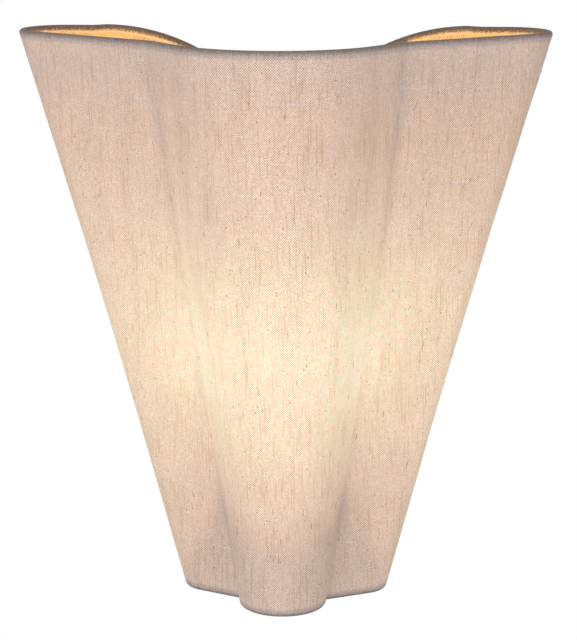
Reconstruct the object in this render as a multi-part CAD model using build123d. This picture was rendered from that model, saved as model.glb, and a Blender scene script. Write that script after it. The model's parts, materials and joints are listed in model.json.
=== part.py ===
from build123d import *
import os
from math import acos, atan2, cos, degrees, radians, sin, sqrt

# Wall light with a three-lobed fabric shade. Millimetres. The wall is the plane y = 0, the front faces -Y,
# +X is to the right and +Z is up. The origin is the centre of the two wall screws.
# A plan point is given as x and as its distance in front of the shade's back plane.

os.makedirs("parts", exist_ok=True)

# ---- shade ----
shade_height = 352.0
shade_drop = 60.0  # from the wall screws' centre down to the shade's bottom edge
shade_wall_gap = 3.0
cloth_thickness = 0.8
hem_height = 5.5
hem_bevel = 1.2
wire_diameter = 3.0
wire_slip = 0.25  # gap between a frame wire and the cloth
crease_wire_diameter = 2.6

top_half_width = 160.0
top_depth = 154.0
top_front_radius = 68.5
top_flank_slope = 54.5  # degrees from the X axis
top_flank_length = 31.0
top_crease_radius = 8.0
top_lobe_radius = 26.0

bottom_depth = 77.0
bottom_front_radius = 26.5
bottom_flank_slope = 85.0
bottom_flank_length = 8.5
bottom_crease_radius = 2.5
bottom_lobe_radius = 16.0
bottom_back_flat = 1.5  # straight back edge between the frame's corner and the lobe

shoulder_flat = 23.0  # straight part of the top back edge beside each lobe
shoulder_drop = 23.0  # how far the back edge sinks from there to the back opening
shoulder_crest = 0.5
shoulder_corner_radius = 12.0
frame_corner_radius = 3.0

# ---- wall bracket and its hooks ----
bracket_thickness = 2.0
bracket_width = 14.0
bracket_tab_depth = 14.0
bracket_tab_gap = 1.4  # from the tab's outside to the canopy's inside, on the centre line
bracket_bend_radius = 1.0
crossbar_width = 34.0
crossbar_low = 20.0
crossbar_high = 29.5
wall_screw_spacing = 44.0
wall_slot_width = 4.6
wall_slot_length = 9.0
cable_hole_diameter = 9.0

hook_spacing = 24.0
hook_width = 5.0
hook_low = 21.5
hook_bar_height = 48.0
hook_bar_diameter = 2.8
hook_slip = 0.4  # gap between the hook bar and its hooks
hook_lip_height = 4.0
rivet_diameter = 2.4
rivet_head_diameter = 4.4
rivet_head_height = 0.8

# ---- canopy ----
canopy_radius = 37.0
canopy_depth = 24.0
canopy_thickness = 1.0
canopy_edge_radius = 5.0
canopy_clearance = 3.0  # gap on each side between the canopy and the shade's back opening
side_screw_diameter = 4.0
side_screw_head_diameter = 7.0
side_screw_head_height = 2.4
side_screw_length = 7.0
side_screw_y = 9.0
driver_slot_width = 0.8
driver_slot_depth = 0.9

# ---- arm and lampholder ----
arm_height = -22.0  # where the arm leaves the canopy
arm_diameter = 10.0
arm_bore = 7.4
arm_bend_radius = 16.0
arm_inner_length = 8.0  # threaded end inside the canopy
lamp_reach = 48.0  # lamp axis from the wall
arm_top = 12.0
arm_nut_across_flats = 14.0
arm_nut_height = 3.0
arm_washer_diameter = 17.0
arm_washer_thickness = 1.2
arm_rose_diameter = 18.0
arm_rose_height = 4.0

holder_base_low = 5.0
holder_base_height = 15.0
holder_base_chamfer = 3.0
holder_base_floor = 2.8
holder_radius = 13.0
holder_wall = 1.4
holder_body_height = 30.0
holder_ring_low = 18.0  # skirt ring's lower face above the holder body's foot
holder_ring_height = 5.0
holder_ring_radius = 16.0
insert_floor = 5.0
insert_slip = 0.15
strip_thickness = 0.8
strip_width = 2.6
side_strip_height = 12.0
foot_gap = 0.3  # between the bulb's foot and the centre strip

# ---- bulb ----
cap_radius = 6.9
cap_length = 17.0
cap_ridge = 0.35
cap_ridge_pitch = 2.82
cap_ridge_count = 4
cap_clearance = 0.35
foot_radius = 5.6
foot_height = 3.6
foot_tip_radius = 2.4
foot_tip_height = 1.2
collar_height = 12.0
collar_radius = 12.0
envelope_radius = 18.0
envelope_height = 68.0
envelope_wall = 0.8
envelope_widest = 25.0  # height of the widest place above the collar
plate_thickness = 1.5

# ---- wiring ----
pole_pitch = 10.0
pole_count = 3
block_height = 16.0
block_depth = 13.0
block_low = 3.0
block_edge_radius = 1.0
block_screw_head_diameter = 4.4
block_screw_head_height = 1.2
sleeve_diameter = 4.6
sleeve_bore = 3.0
sleeve_inset = 1.0
clamp_screw_diameter = 2.6
clamp_screw_spacing = 7.0
lead_diameter = 2.2
lead_pitch = 2.8
lead_bend_radius = 3.0
grommet_bore = 6.0
grommet_flange = 12.0
grommet_lip = 1.0
earth_screw_diameter = 3.5
earth_screw_head_diameter = 6.5
earth_screw_head_height = 2.0
earth_tag_diameter = 7.5
earth_tag_thickness = 0.8
earth_tail_width = 3.2

shade_bottom = -shade_drop
shade_top = shade_bottom + shade_height
wire_radius = wire_diameter / 2
wire_inset = cloth_thickness + wire_slip + wire_radius
channel_inner = cloth_thickness + wire_diameter + 2 * wire_slip
hem_inner = channel_inner + cloth_thickness
back_half = canopy_radius + canopy_clearance
back_wire_x = back_half + wire_inset
back_wire_y = -(shade_wall_gap + wire_inset)
hook_front = back_wire_y + hook_bar_diameter / 2 + hook_slip
hook_thickness = -hook_front - bracket_thickness
frame_corner_x = back_wire_x + frame_corner_radius
bottom_half_width = frame_corner_x + bottom_back_flat + bottom_lobe_radius
top_lobe_x = top_half_width - top_lobe_radius
shoulder_x = top_lobe_x - shoulder_flat
shoulder_run = shoulder_x - back_half
shoulder_radius = (shoulder_run**2 + shoulder_drop**2) / (2 * shoulder_drop)
lamp_y = -lamp_reach
canopy_front = -canopy_depth
canopy_inner_radius = canopy_radius - canopy_thickness
canopy_inner_front = canopy_front + canopy_thickness
rivet_height = (crossbar_low + crossbar_high) / 2
earth_height = -(cable_hole_diameter + wall_screw_spacing - wall_slot_length) / 4


def save(name, shape):
    """Write one node's STEP file."""
    export_step(shape, f"parts/{name}.step")


def disc(radius, length, point, direction):
    """Cylinder that starts at a point and runs along a direction."""
    return extrude(Plane(point, z_dir=direction) * Circle(radius), length)


def block(x_from, x_to, y_from, y_to, z_from, z_to):
    """Box between two corners."""
    size = (x_to - x_from, y_to - y_from, z_to - z_from)
    middle = ((x_from + x_to) / 2, (y_from + y_to) / 2, (z_from + z_to) / 2)
    return Pos(*middle) * Box(*size)


def turned(points):
    """Solid of revolution about the lamp axis from (radius, height) points."""
    face = make_face(Polyline(*[(r, 0, z) for r, z in points], close=True))
    return Pos(0, lamp_y, 0) * revolve(face, Axis.Z)


# ---- plan outline of the shade at a share of its height, moved inwards by an inset ----
def between(low, high, share):
    return low + (high - low) * share


def plan_arcs(share, inset):
    """Arcs of the right half, from the back to the front: (centre, radius, first angle, last angle)."""
    half_width = between(bottom_half_width, top_half_width, share)
    depth = between(bottom_depth, top_depth, share)
    front_radius = between(bottom_front_radius, top_front_radius, share)
    flank_normal = 90 - between(bottom_flank_slope, top_flank_slope, share)
    flank_length = between(bottom_flank_length, top_flank_length, share)
    crease_radius = between(bottom_crease_radius, top_crease_radius, share)
    lobe_radius = between(bottom_lobe_radius, top_lobe_radius, share)
    normal = Vector(cos(radians(flank_normal)), sin(radians(flank_normal)))
    front_centre = Vector(0, depth - front_radius)
    crease = front_centre + normal * front_radius + Vector(normal.Y, -normal.X) * flank_length
    lobe_centre = Vector(half_width - lobe_radius, lobe_radius)
    to_crease = crease - lobe_centre
    panel_normal = degrees(atan2(to_crease.Y, to_crease.X) - acos(lobe_radius / to_crease.length))
    panel = Vector(cos(radians(panel_normal)), sin(radians(panel_normal)))
    crease_centre = crease + (normal + panel) * (crease_radius / (1 + normal.dot(panel)))
    return [
        (lobe_centre, lobe_radius - inset, -90, panel_normal),
        (crease_centre, crease_radius + inset, panel_normal + 180, flank_normal + 180),
        (front_centre, front_radius - inset, flank_normal, 180 - flank_normal),
    ]


def on_arc(arc, angle, side=1):
    """Plan point on an arc, mirrored to the left where side is -1."""
    centre, radius = arc[0], arc[1]
    return Vector(side * (centre.X + radius * cos(radians(angle))), centre.Y + radius * sin(radians(angle)))


def in_room(point, z):
    """Plan point placed in the part's frame."""
    return Vector(point.X, -(shade_wall_gap + point.Y), z)


def arc_edge(arc, z, side, forwards):
    first, last = arc[2], arc[3]
    points = [in_room(on_arc(arc, a, side), z) for a in (first, (first + last) / 2, last)]
    return ThreePointArc(*(points if forwards else points[::-1]))


def round_front(share, inset, z):
    """Edges from the right lobe's back point round the front to the left lobe's back point."""
    lobe, crease, front = plan_arcs(share, inset)
    right = [arc_edge(lobe, z, 1, True)]
    right.append(Line(right[-1] @ 1, in_room(on_arc(crease, crease[2]), z)))
    right.append(arc_edge(crease, z, 1, True))
    right.append(Line(right[-1] @ 1, in_room(on_arc(front, front[2]), z)))
    right.append(arc_edge(front, z, 1, True))
    left = [arc_edge(crease, z, -1, False)]
    left.insert(0, Line(right[-1] @ 1, left[0] @ 0))
    lobe_edge = arc_edge(lobe, z, -1, False)
    left.append(Line(left[-1] @ 1, lobe_edge @ 0))
    left.append(lobe_edge)
    return right + left


def closed_outline(share, inset, z):
    edges = round_front(share, inset, z)
    edges.append(Line(edges[-1] @ 1, edges[0] @ 0))
    return Wire([edge.edge() for edge in edges])


def shade_solid(inset, rim_inset=0):
    """Whole space inside the cloth's outside, moved inwards by an inset and a little more at both rims."""
    edge_share = hem_bevel / shade_height
    steps = [(0, rim_inset), (edge_share, 0), (1 - edge_share, 0), (1, rim_inset)]
    outlines = [
        closed_outline(share, inset + more, shade_bottom + share * shade_height)
        for share, more in steps
    ]
    return Solid.make_loft(outlines, ruled=True)


def slab(z_from, z_to):
    reach = 2 * top_half_width
    return block(-reach, reach, -reach, reach, z_from, z_to)


# ---- back opening: two upright edges that turn outwards into sinking shoulders ----
def shoulder_arcs(inset, crest):
    """Points of the upright, small corner and shoulder arc, inset from the edge and raised by a crest."""
    radius = shoulder_radius - inset + crest
    corner = shoulder_corner_radius - inset
    big = Vector(shoulder_x, shade_top - shoulder_radius)
    small_x = back_half + inset + corner
    small_z = big.Y + sqrt((radius - corner) ** 2 - (big.X - small_x) ** 2)
    small = Vector(small_x, small_z)
    toward = (small - big).normalized()
    meet = big + toward * radius
    half_corner = (Vector(-1, 0) + toward).normalized()
    half_shoulder = (toward + Vector(0, 1)).normalized()
    return {
        "upright_top": Vector(back_half + inset, small_z),
        "corner_middle": small + half_corner * corner,
        "meet": meet,
        "shoulder_middle": big + half_shoulder * radius,
        "shoulder_end": big + Vector(0, radius),
    }


def back_edges(arcs, low_z, side, y):
    """Upright, corner and shoulder as edges in a plane parallel to the wall."""
    def spot(point):
        return Vector(side * point.X, y, point.Y)

    upright = Line(Vector(side * arcs["upright_top"].X, y, low_z), spot(arcs["upright_top"]))
    corner = ThreePointArc(upright @ 1, spot(arcs["corner_middle"]), spot(arcs["meet"]))
    shoulder = ThreePointArc(corner @ 1, spot(arcs["shoulder_middle"]), spot(arcs["shoulder_end"]))
    return [upright, corner, shoulder]


def back_opening():
    """Tool that cuts the back opening and the shoulders from the shade's back wall."""
    arcs = shoulder_arcs(0, shoulder_crest)
    low = shade_bottom - hem_height
    right = back_edges(arcs, low, 1, 0)
    left = back_edges(arcs, low, -1, 0)
    over = shade_top + hem_height
    rise_right = Line(right[-1] @ 1, Vector(shoulder_x, 0, over))
    across = Line(rise_right @ 1, Vector(-shoulder_x, 0, over))
    rise_left = Line(across @ 1, left[-1] @ 1)
    floor_line = Line(left[0] @ 0, right[0] @ 0)
    edges = right + [rise_right, across, rise_left] + left + [floor_line]
    face = make_face([edge.edge() for edge in edges])
    return extrude(face, shade_wall_gap + 2 * hem_inner, dir=(0, -1, 0))


def shade_fabric():
    """Cloth wall with a hem folded over each ring, open at the back."""
    outside = shade_solid(0, hem_bevel)
    inside_cloth = shade_solid(cloth_thickness)
    inside_channel = shade_solid(channel_inner)
    inside_hem = shade_solid(hem_inner)
    wall_space = inside_cloth & slab(shade_bottom + hem_height, shade_top - hem_height)
    channel_slab = slab(shade_bottom + cloth_thickness, shade_top - cloth_thickness)
    channel = (inside_cloth - inside_channel) & channel_slab
    cloth = outside - inside_hem - wall_space - channel
    return cloth - back_opening()


def ring_height(at_top):
    return shade_top - wire_inset if at_top else shade_bottom + wire_inset


def shade_ring(at_top, end_x):
    """Round wire inside a hem, open at the back."""
    z = ring_height(at_top)
    share = (z - shade_bottom) / shade_height
    edges = round_front(share, wire_inset, z)
    back_y = (edges[0] @ 0).Y
    first = Line(Vector(end_x, back_y, z), edges[0] @ 0)
    last = Line(edges[-1] @ 1, Vector(-end_x, back_y, z))
    path = Wire([edge.edge() for edge in [first] + edges + [last]])
    return swept(path, wire_radius)


def swept(path, radius):
    profile = Plane(path @ 0, z_dir=path % 0) * Circle(radius)
    return sweep(profile, path=path)


def back_wire(side):
    """Upright frame wire beside the back opening, from the bottom ring's end to the top ring's end."""
    arcs = shoulder_arcs(wire_inset, 0)
    low_z = ring_height(False)
    corner_top = low_z + frame_corner_radius
    edges = back_edges(arcs, corner_top, side, back_wire_y)
    reach = frame_corner_radius * (1 - cos(radians(45)))
    start = Vector(side * frame_corner_x, back_wire_y, low_z)
    middle = Vector(side * (back_wire_x + reach), back_wire_y, low_z + reach)
    foot = ThreePointArc(start, middle, edges[0] @ 0)
    path = Wire([edge.edge() for edge in [foot] + edges])
    return swept(path, wire_radius)


def crease_point(at_top):
    """Where the frame's ring passes the middle of the crease."""
    z = ring_height(at_top)
    crease = plan_arcs((z - shade_bottom) / shade_height, wire_inset)[1]
    return in_room(on_arc(crease, (crease[2] + crease[3]) / 2), z)


def crease_wire(side, rings):
    """Straight wire that holds the cloth in along a crease, welded to both rings."""
    low, high = crease_point(False), crease_point(True)
    low, high = Vector(side * low.X, low.Y, low.Z), Vector(side * high.X, high.Y, high.Z)
    rod = disc(crease_wire_diameter / 2, (high - low).length, low, high - low)
    return rod - rings[0] - rings[1]


# ---- wall bracket ----
def wall_bracket():
    """Upright strap with a crossbar for the hooks and a bent tab at each end."""
    half = bracket_width / 2
    tab_out = canopy_inner_radius - bracket_tab_gap
    strap = block(-half, half, -bracket_tab_depth, 0, -tab_out, tab_out)
    inner = tab_out - bracket_thickness
    strap -= block(-half, half, -bracket_tab_depth, -bracket_thickness, -inner, inner)
    corners = strap.edges().filter_by(Axis.X).filter_by(lambda e: abs(e.center().Y) < 0.01)
    strap = fillet(corners, bracket_bend_radius)
    bar_half = crossbar_width / 2
    strap += block(-bar_half, bar_half, -bracket_thickness, 0, crossbar_low, crossbar_high)
    for side in (-1, 1):
        slot_plane = Plane((0, 0, side * wall_screw_spacing / 2), x_dir=(0, 0, 1), z_dir=(0, -1, 0))
        slot = slot_plane * SlotOverall(wall_slot_length, wall_slot_width)
        strap -= extrude(slot, 2 * bracket_thickness, both=True)
        strap -= disc(side_screw_diameter / 2, canopy_radius, (0, -side_screw_y, 0), (0, 0, side))
        rivet_place = (side * hook_spacing / 2, 0, rivet_height)
        strap -= disc(rivet_diameter / 2, bracket_thickness, rivet_place, (0, -1, 0))
    strap -= disc(cable_hole_diameter / 2, bracket_thickness, (0, 0, 0), (0, -1, 0))
    strap -= disc(earth_screw_diameter / 2, bracket_thickness, (0, 0, earth_height), (0, -1, 0))
    return strap


def shade_hook(side):
    """Flat steel J, riveted to the crossbar, that carries the shade's hook bar."""
    x = side * hook_spacing / 2
    x_from, x_to = x - hook_width / 2, x + hook_width / 2
    inner = hook_bar_diameter / 2 + hook_slip
    outer = inner + hook_thickness
    lip_top = hook_bar_height + hook_lip_height
    start = (x_from, back_wire_y, hook_bar_height)
    cup = disc(outer, hook_width, start, (1, 0, 0)) - disc(inner, hook_width, start, (1, 0, 0))
    cup -= block(x_from, x_to, back_wire_y - outer, 0, hook_bar_height, lip_top)
    lip = block(x_from, x_to, back_wire_y - outer, back_wire_y - inner, hook_bar_height, lip_top)
    leg = block(x_from, x_to, hook_front, -bracket_thickness, hook_low, hook_bar_height)
    hook = cup + lip + leg
    return hook - disc(rivet_diameter / 2, canopy_depth, (x, 0, rivet_height), (0, -1, 0))


def hook_rivet(side):
    """Rivet through the crossbar and a hook, with its head in front."""
    x = side * hook_spacing / 2
    shank = disc(rivet_diameter / 2, -hook_front, (x, 0, rivet_height), (0, -1, 0))
    head = disc(rivet_head_diameter / 2, rivet_head_height, (x, hook_front, rivet_height), (0, -1, 0))
    return shank + head


def hook_bar(uprights):
    """Cross wire between the back wires that rests in the hooks."""
    half = back_wire_x
    start = (-half, back_wire_y, hook_bar_height)
    return disc(hook_bar_diameter / 2, 2 * half, start, (1, 0, 0)) - uprights[0] - uprights[1]


# ---- canopy ----
def canopy():
    """Round pressed cover over the bracket and the terminals."""
    shell = disc(canopy_radius, canopy_depth, (0, 0, 0), (0, -1, 0))
    front_edge = shell.edges().filter_by(GeomType.CIRCLE).sort_by(Axis.Y)[0]
    shell = fillet(front_edge, canopy_edge_radius)
    hollow = disc(canopy_inner_radius, canopy_depth - canopy_thickness, (0, 0, 0), (0, -1, 0))
    inner_edge = hollow.edges().filter_by(GeomType.CIRCLE).sort_by(Axis.Y)[0]
    shell -= fillet(inner_edge, canopy_edge_radius - canopy_thickness)
    notch_half = hook_width / 2 + hook_slip
    notch_depth = hook_front - hook_slip
    for side in (-1, 1):
        x = side * hook_spacing / 2
        shell -= block(x - notch_half, x + notch_half, notch_depth, 0, crossbar_low, canopy_radius)
        shell -= disc(side_screw_diameter / 2, 2 * canopy_radius, (0, -side_screw_y, 0), (0, 0, side))
    shell -= disc(arm_diameter / 2, canopy_depth, (0, 0, arm_height), (0, -1, 0))
    return shell - disc(clamp_screw_diameter / 2, block_screw_length, block_screw_start, (0, -1, 0))


def side_screw(side):
    """Slotted screw through the canopy's side into a bracket tab."""
    head_foot = side * canopy_radius
    tip = (0, -side_screw_y, side * (canopy_radius - side_screw_length))
    shank = disc(side_screw_diameter / 2, side_screw_length, tip, (0, 0, side))
    head_start = (0, -side_screw_y, head_foot)
    head = disc(side_screw_head_diameter / 2, side_screw_head_height, head_start, (0, 0, side))
    top = head_foot + side * side_screw_head_height
    low, high = sorted((top - side * driver_slot_depth, top))
    radius = side_screw_head_diameter
    half = driver_slot_width / 2
    head -= block(-radius, radius, -side_screw_y - half, -side_screw_y + half, low, high)
    return shank + head


# ---- arm ----
def holder_arm():
    """Tube from inside the canopy, forward and then up the lamp axis, that leads the lampholder's wires."""
    start = (0, canopy_inner_front + arm_inner_length, arm_height)
    corner = (0, lamp_y, arm_height)
    path = FilletPolyline(start, corner, (0, lamp_y, arm_top), radius=arm_bend_radius).wire()
    return swept(path, arm_diameter / 2) - swept(path, arm_bore / 2)


def hex_nut(across_flats, height, bore, point, direction):
    plane = Plane(point, z_dir=direction)
    nut = extrude(plane * RegularPolygon(across_flats / 2, 6, major_radius=False), height)
    return nut - extrude(plane * Circle(bore / 2), height)


def ring(outer, inner, height, point, direction):
    plane = Plane(point, z_dir=direction)
    return extrude(plane * (Circle(outer / 2) - Circle(inner / 2)), height)


def arm_rose():
    """Tapered collar round the arm, against the canopy's front."""
    start = (0, canopy_front, arm_height)
    rose = disc(arm_rose_diameter / 2, arm_rose_height, start, (0, -1, 0))
    front_edge = rose.edges().filter_by(GeomType.CIRCLE).sort_by(Axis.Y)[0]
    rose = chamfer(front_edge, arm_rose_height / 2)
    return rose - disc(arm_diameter / 2, arm_rose_height, start, (0, -1, 0))


def arm_washer():
    start = (0, canopy_inner_front, arm_height)
    return ring(arm_washer_diameter, arm_diameter, arm_washer_thickness, start, (0, 1, 0))


def arm_nut():
    """Nut inside the canopy that holds the arm."""
    start = (0, canopy_inner_front + arm_washer_thickness, arm_height)
    return hex_nut(arm_nut_across_flats, arm_nut_height, arm_diameter, start, (0, 1, 0))


def holder_nut():
    """Nut inside the holder base that locks it to the arm's top."""
    start = (0, lamp_y, holder_base_low + holder_base_floor)
    return hex_nut(arm_nut_across_flats, arm_nut_height, arm_diameter, start, (0, 0, 1))


# ---- lampholder ----
holder_base_high = holder_base_low + holder_base_height
holder_body_high = holder_base_high + holder_body_height
holder_bore = holder_radius - holder_wall
insert_low = holder_base_high + holder_wall
insert_radius = holder_bore - insert_slip
socket_radius = cap_radius + cap_ridge + cap_clearance
socket_floor = insert_low + insert_floor
foot_low = socket_floor + strip_thickness + foot_gap


def holder_base():
    """Cup that screws onto the arm and carries the holder body."""
    return turned([
        (arm_diameter / 2, holder_base_low),
        (holder_radius - holder_base_chamfer, holder_base_low),
        (holder_radius, holder_base_low + holder_base_chamfer),
        (holder_radius, holder_base_high),
        (holder_bore, holder_base_high),
        (holder_bore, holder_base_low + holder_base_floor),
        (arm_diameter / 2, holder_base_low + holder_base_floor),
    ])


def holder_body():
    """Plain sleeve round the insert, with a ledge that rests on the base's rim."""
    return turned([
        (holder_bore - holder_wall, holder_base_high),
        (holder_radius, holder_base_high),
        (holder_radius, holder_body_high),
        (holder_bore, holder_body_high),
        (holder_bore, insert_low),
        (holder_bore - holder_wall, insert_low),
    ])


def holder_insert():
    """Moulded socket with a bore round the cap, wire holes in its floor and a groove for the side strip."""
    high = holder_body_high - holder_wall
    insert = turned([
        (0, insert_low),
        (insert_radius, insert_low),
        (insert_radius, high),
        (socket_radius, high),
        (socket_radius, socket_floor),
        (0, socket_floor),
    ])
    for side in (-1, 1):
        hole_foot = (side * lead_pitch / 2, lamp_y, insert_low)
        insert -= disc(lead_diameter / 2, insert_floor, hole_foot, (0, 0, 1))
    return insert - side_strip_wall()


def side_strip_wall():
    """Upright part of the side contact, let into the socket's wall."""
    y_from, y_to = lamp_y - strip_width / 2, lamp_y + strip_width / 2
    x_from, x_to = -socket_radius - strip_thickness, -socket_radius
    upright = block(x_from, x_to, y_from, y_to, socket_floor, socket_floor + side_strip_height)
    foot_top = socket_floor + strip_thickness
    return upright + block(x_from, -lead_pitch / 2, y_from, y_to, socket_floor, foot_top)


def centre_contact():
    """Strip on the socket's floor, from its lead to below the bulb's foot."""
    y_from, y_to = lamp_y - strip_width / 2, lamp_y + strip_width / 2
    x_to = lead_pitch + strip_width / 2
    return block(0, x_to, y_from, y_to, socket_floor, socket_floor + strip_thickness)


def holder_ring():
    """Screwed skirt ring round the holder body."""
    low = holder_base_high + holder_ring_low
    high = low + holder_ring_height
    edge = holder_ring_radius - holder_wall
    return turned([
        (holder_radius, low),
        (edge, low),
        (holder_ring_radius, low + holder_wall),
        (holder_ring_radius, high - holder_wall),
        (edge, high),
        (holder_radius, high),
    ])


# ---- bulb ----
foot_high = foot_low + foot_tip_height + foot_height
cap_high = foot_high + cap_length
collar_high = cap_high + collar_height
envelope_high = collar_high + envelope_height
envelope_mouth = collar_radius - envelope_wall
plate_radius = envelope_mouth - envelope_wall


def bulb_foot_contact():
    return disc(foot_tip_radius, foot_tip_height, (0, lamp_y, foot_low), (0, 0, 1))


def bulb_foot_insulator():
    low = foot_low + foot_tip_height
    return turned([(0, low), (foot_tip_radius, low), (foot_radius, foot_high), (0, foot_high)])


def bulb_cap():
    """Cap shell with rounded ridges that stand for its thread."""
    points = [(foot_radius, foot_high), (cap_radius, foot_high + cap_ridge_pitch / 2)]
    for turn in range(cap_ridge_count):
        low = foot_high + cap_ridge_pitch * (turn + 0.75)
        points.append((cap_radius, low))
        points.append((cap_radius + cap_ridge, low + cap_ridge_pitch / 4))
        points.append((cap_radius + cap_ridge, low + cap_ridge_pitch / 2))
        points.append((cap_radius, low + 3 * cap_ridge_pitch / 4))
    return turned(points + [(cap_radius, cap_high), (0, cap_high), (0, foot_high)])


def bulb_collar():
    """Moulded collar between the cap and the envelope, with a recess for the lamp plate."""
    step = collar_height / 4
    neck = cap_radius + cap_ridge
    return turned([
        (0, cap_high),
        (neck, cap_high),
        (neck, cap_high + step),
        (collar_radius, collar_high - step),
        (collar_radius, collar_high),
        (plate_radius, collar_high),
        (plate_radius, collar_high - plate_thickness),
        (0, collar_high - plate_thickness),
    ])


def lamp_plate():
    """Round plate in the collar that carries the light source."""
    return disc(plate_radius, plate_thickness, (0, lamp_y, collar_high - plate_thickness), (0, 0, 1))


def envelope_solid(inset):
    """Candle shape on the lamp axis, moved inwards by an inset."""
    low = Vector(envelope_mouth - inset, 0, collar_high)
    wide = Vector(envelope_radius - inset, 0, collar_high + envelope_widest)
    top = Vector(0, 0, envelope_high - inset)
    slant = Vector(envelope_radius - envelope_mouth, 0, envelope_mouth)
    lower = Spline(low, wide, tangents=[slant, Vector(0, 0, 1)])
    upper = Spline(wide, top, tangents=[Vector(0, 0, 1), Vector(-1, 0, 0)])
    axis_line = Line(top, Vector(0, 0, collar_high))
    mouth_line = Line(axis_line @ 1, low)
    face = make_face([edge.edge() for edge in (lower, upper, axis_line, mouth_line)])
    return revolve(face, Axis.Z)


def bulb_envelope():
    """Thin opal candle envelope, open towards the collar."""
    return Pos(0, lamp_y, 0) * (envelope_solid(0) - envelope_solid(envelope_wall))


# ---- terminal block ----
block_back = canopy_inner_front + block_depth
block_high = block_low + block_height
block_middle = (block_low + block_high) / 2
sleeve_y = canopy_inner_front + block_depth / 2
block_half = pole_count * pole_pitch / 2
block_screw_start = (pole_pitch / 2, block_back, block_middle)
block_screw_length = block_depth + canopy_thickness
lead_end = block_low + sleeve_inset + clamp_screw_spacing


def pole_x(index):
    return (index - (pole_count - 1) / 2) * pole_pitch


def clamp_points():
    """Axes of the clamp screws, two on each pole."""
    heights = [block_middle - clamp_screw_spacing / 2, block_middle + clamp_screw_spacing / 2]
    return [(pole_x(index), z) for index in range(pole_count) for z in heights]


def terminal_block():
    """Insulating body with a bore for each sleeve and a well for each clamp screw."""
    body = block(-block_half, block_half, canopy_inner_front, block_back, block_low, block_high)
    body = fillet(body.edges().filter_by(Axis.Z), block_edge_radius)
    for index in range(pole_count):
        body -= disc(sleeve_diameter / 2, block_height, (pole_x(index), sleeve_y, block_low), (0, 0, 1))
    for x, z in clamp_points():
        body -= disc(clamp_screw_diameter / 2, block_depth / 2, (x, sleeve_y, z), (0, 1, 0))
    return body - disc(clamp_screw_diameter / 2, block_screw_length, block_screw_start, (0, -1, 0))


def terminal_sleeve(index):
    """Brass sleeve of one pole, with two threaded holes towards the wall."""
    x = pole_x(index)
    length = block_height - 2 * sleeve_inset
    start = (x, sleeve_y, block_low + sleeve_inset)
    sleeve = disc(sleeve_diameter / 2, length, start, (0, 0, 1))
    sleeve -= disc(sleeve_bore / 2, length, start, (0, 0, 1))
    for screw_x, z in clamp_points():
        sleeve -= disc(clamp_screw_diameter / 2, sleeve_diameter, (screw_x, sleeve_y, z), (0, 1, 0))
    return sleeve


def clamp_screw(x, z):
    """Small slotted screw, flush in its well, that ends on the lead."""
    length = block_depth / 2 - lead_diameter / 2
    screw = disc(clamp_screw_diameter / 2, length, (x, block_back, z), (0, -1, 0))
    half = driver_slot_width / 2
    x_from, x_to = x - clamp_screw_diameter, x + clamp_screw_diameter
    y_from = block_back - driver_slot_depth
    return screw - block(x_from, x_to, y_from, block_back, z - half, z + half)


def block_screw():
    """Screw through the terminal block into the canopy's front."""
    shank = disc(clamp_screw_diameter / 2, block_screw_length, block_screw_start, (0, -1, 0))
    return shank + disc(block_screw_head_diameter / 2, block_screw_head_height, block_screw_start, (0, 1, 0))


# ---- leads and earth ----
lead_entry_y = canopy_inner_front + arm_inner_length + 2 * lead_bend_radius
earth_tag_front = -bracket_thickness - earth_tag_thickness
earth_tail_top = earth_height - earth_tag_diameter / 2 + earth_tag_thickness / 2
earth_lead_y = earth_tag_front - earth_screw_head_height - lead_diameter


def lamp_lead(side):
    """Insulated lead from an outer terminal, through the arm, to the lampholder's insert."""
    x_out = side * pole_pitch
    x_in = side * lead_pitch / 2
    points = [
        (x_out, sleeve_y, lead_end),
        (x_out, sleeve_y, block_low - 2 * lead_bend_radius),
        (x_in, lead_entry_y, arm_height),
        (x_in, lamp_y, arm_height),
        (x_in, lamp_y, socket_floor),
    ]
    path = FilletPolyline(*points, radius=[lead_bend_radius, lead_bend_radius, arm_bend_radius])
    return swept(path.wire(), lead_diameter / 2)


def earth_lead():
    """Lead from the middle terminal to the earth tag's tail."""
    points = [
        (0, sleeve_y, lead_end),
        (0, sleeve_y, block_low - 2 * lead_bend_radius),
        (0, earth_lead_y, earth_height + lead_bend_radius),
        (0, earth_lead_y, earth_tail_top),
    ]
    return swept(FilletPolyline(*points, radius=lead_bend_radius).wire(), lead_diameter / 2)


def earth_tag():
    """Ring tag under the earth screw, with a tail bent forward under the earth lead."""
    half = earth_tail_width / 2
    middle = (0, -bracket_thickness, earth_height)
    tag = disc(earth_tag_diameter / 2, earth_tag_thickness, middle, (0, -1, 0))
    low = earth_tail_top - earth_tag_thickness
    tail_end = earth_lead_y - lead_diameter
    tag += block(-half, half, earth_tag_front, -bracket_thickness, low, earth_height)
    tag += block(-half, half, tail_end, -bracket_thickness, low, earth_tail_top)
    return tag - disc(earth_screw_diameter / 2, canopy_depth, (0, 0, earth_height), (0, -1, 0))


def earth_screw():
    shank = disc(earth_screw_diameter / 2, -earth_tag_front, (0, 0, earth_height), (0, -1, 0))
    start = (0, earth_tag_front, earth_height)
    return shank + disc(earth_screw_head_diameter / 2, earth_screw_head_height, start, (0, -1, 0))


def cable_grommet():
    """Rubber ring that lines the bracket's cable hole."""
    body = ring(cable_hole_diameter, grommet_bore, bracket_thickness, (0, 0, 0), (0, -1, 0))
    return body + ring(grommet_flange, grommet_bore, grommet_lip, (0, -bracket_thickness, 0), (0, -1, 0))


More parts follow.
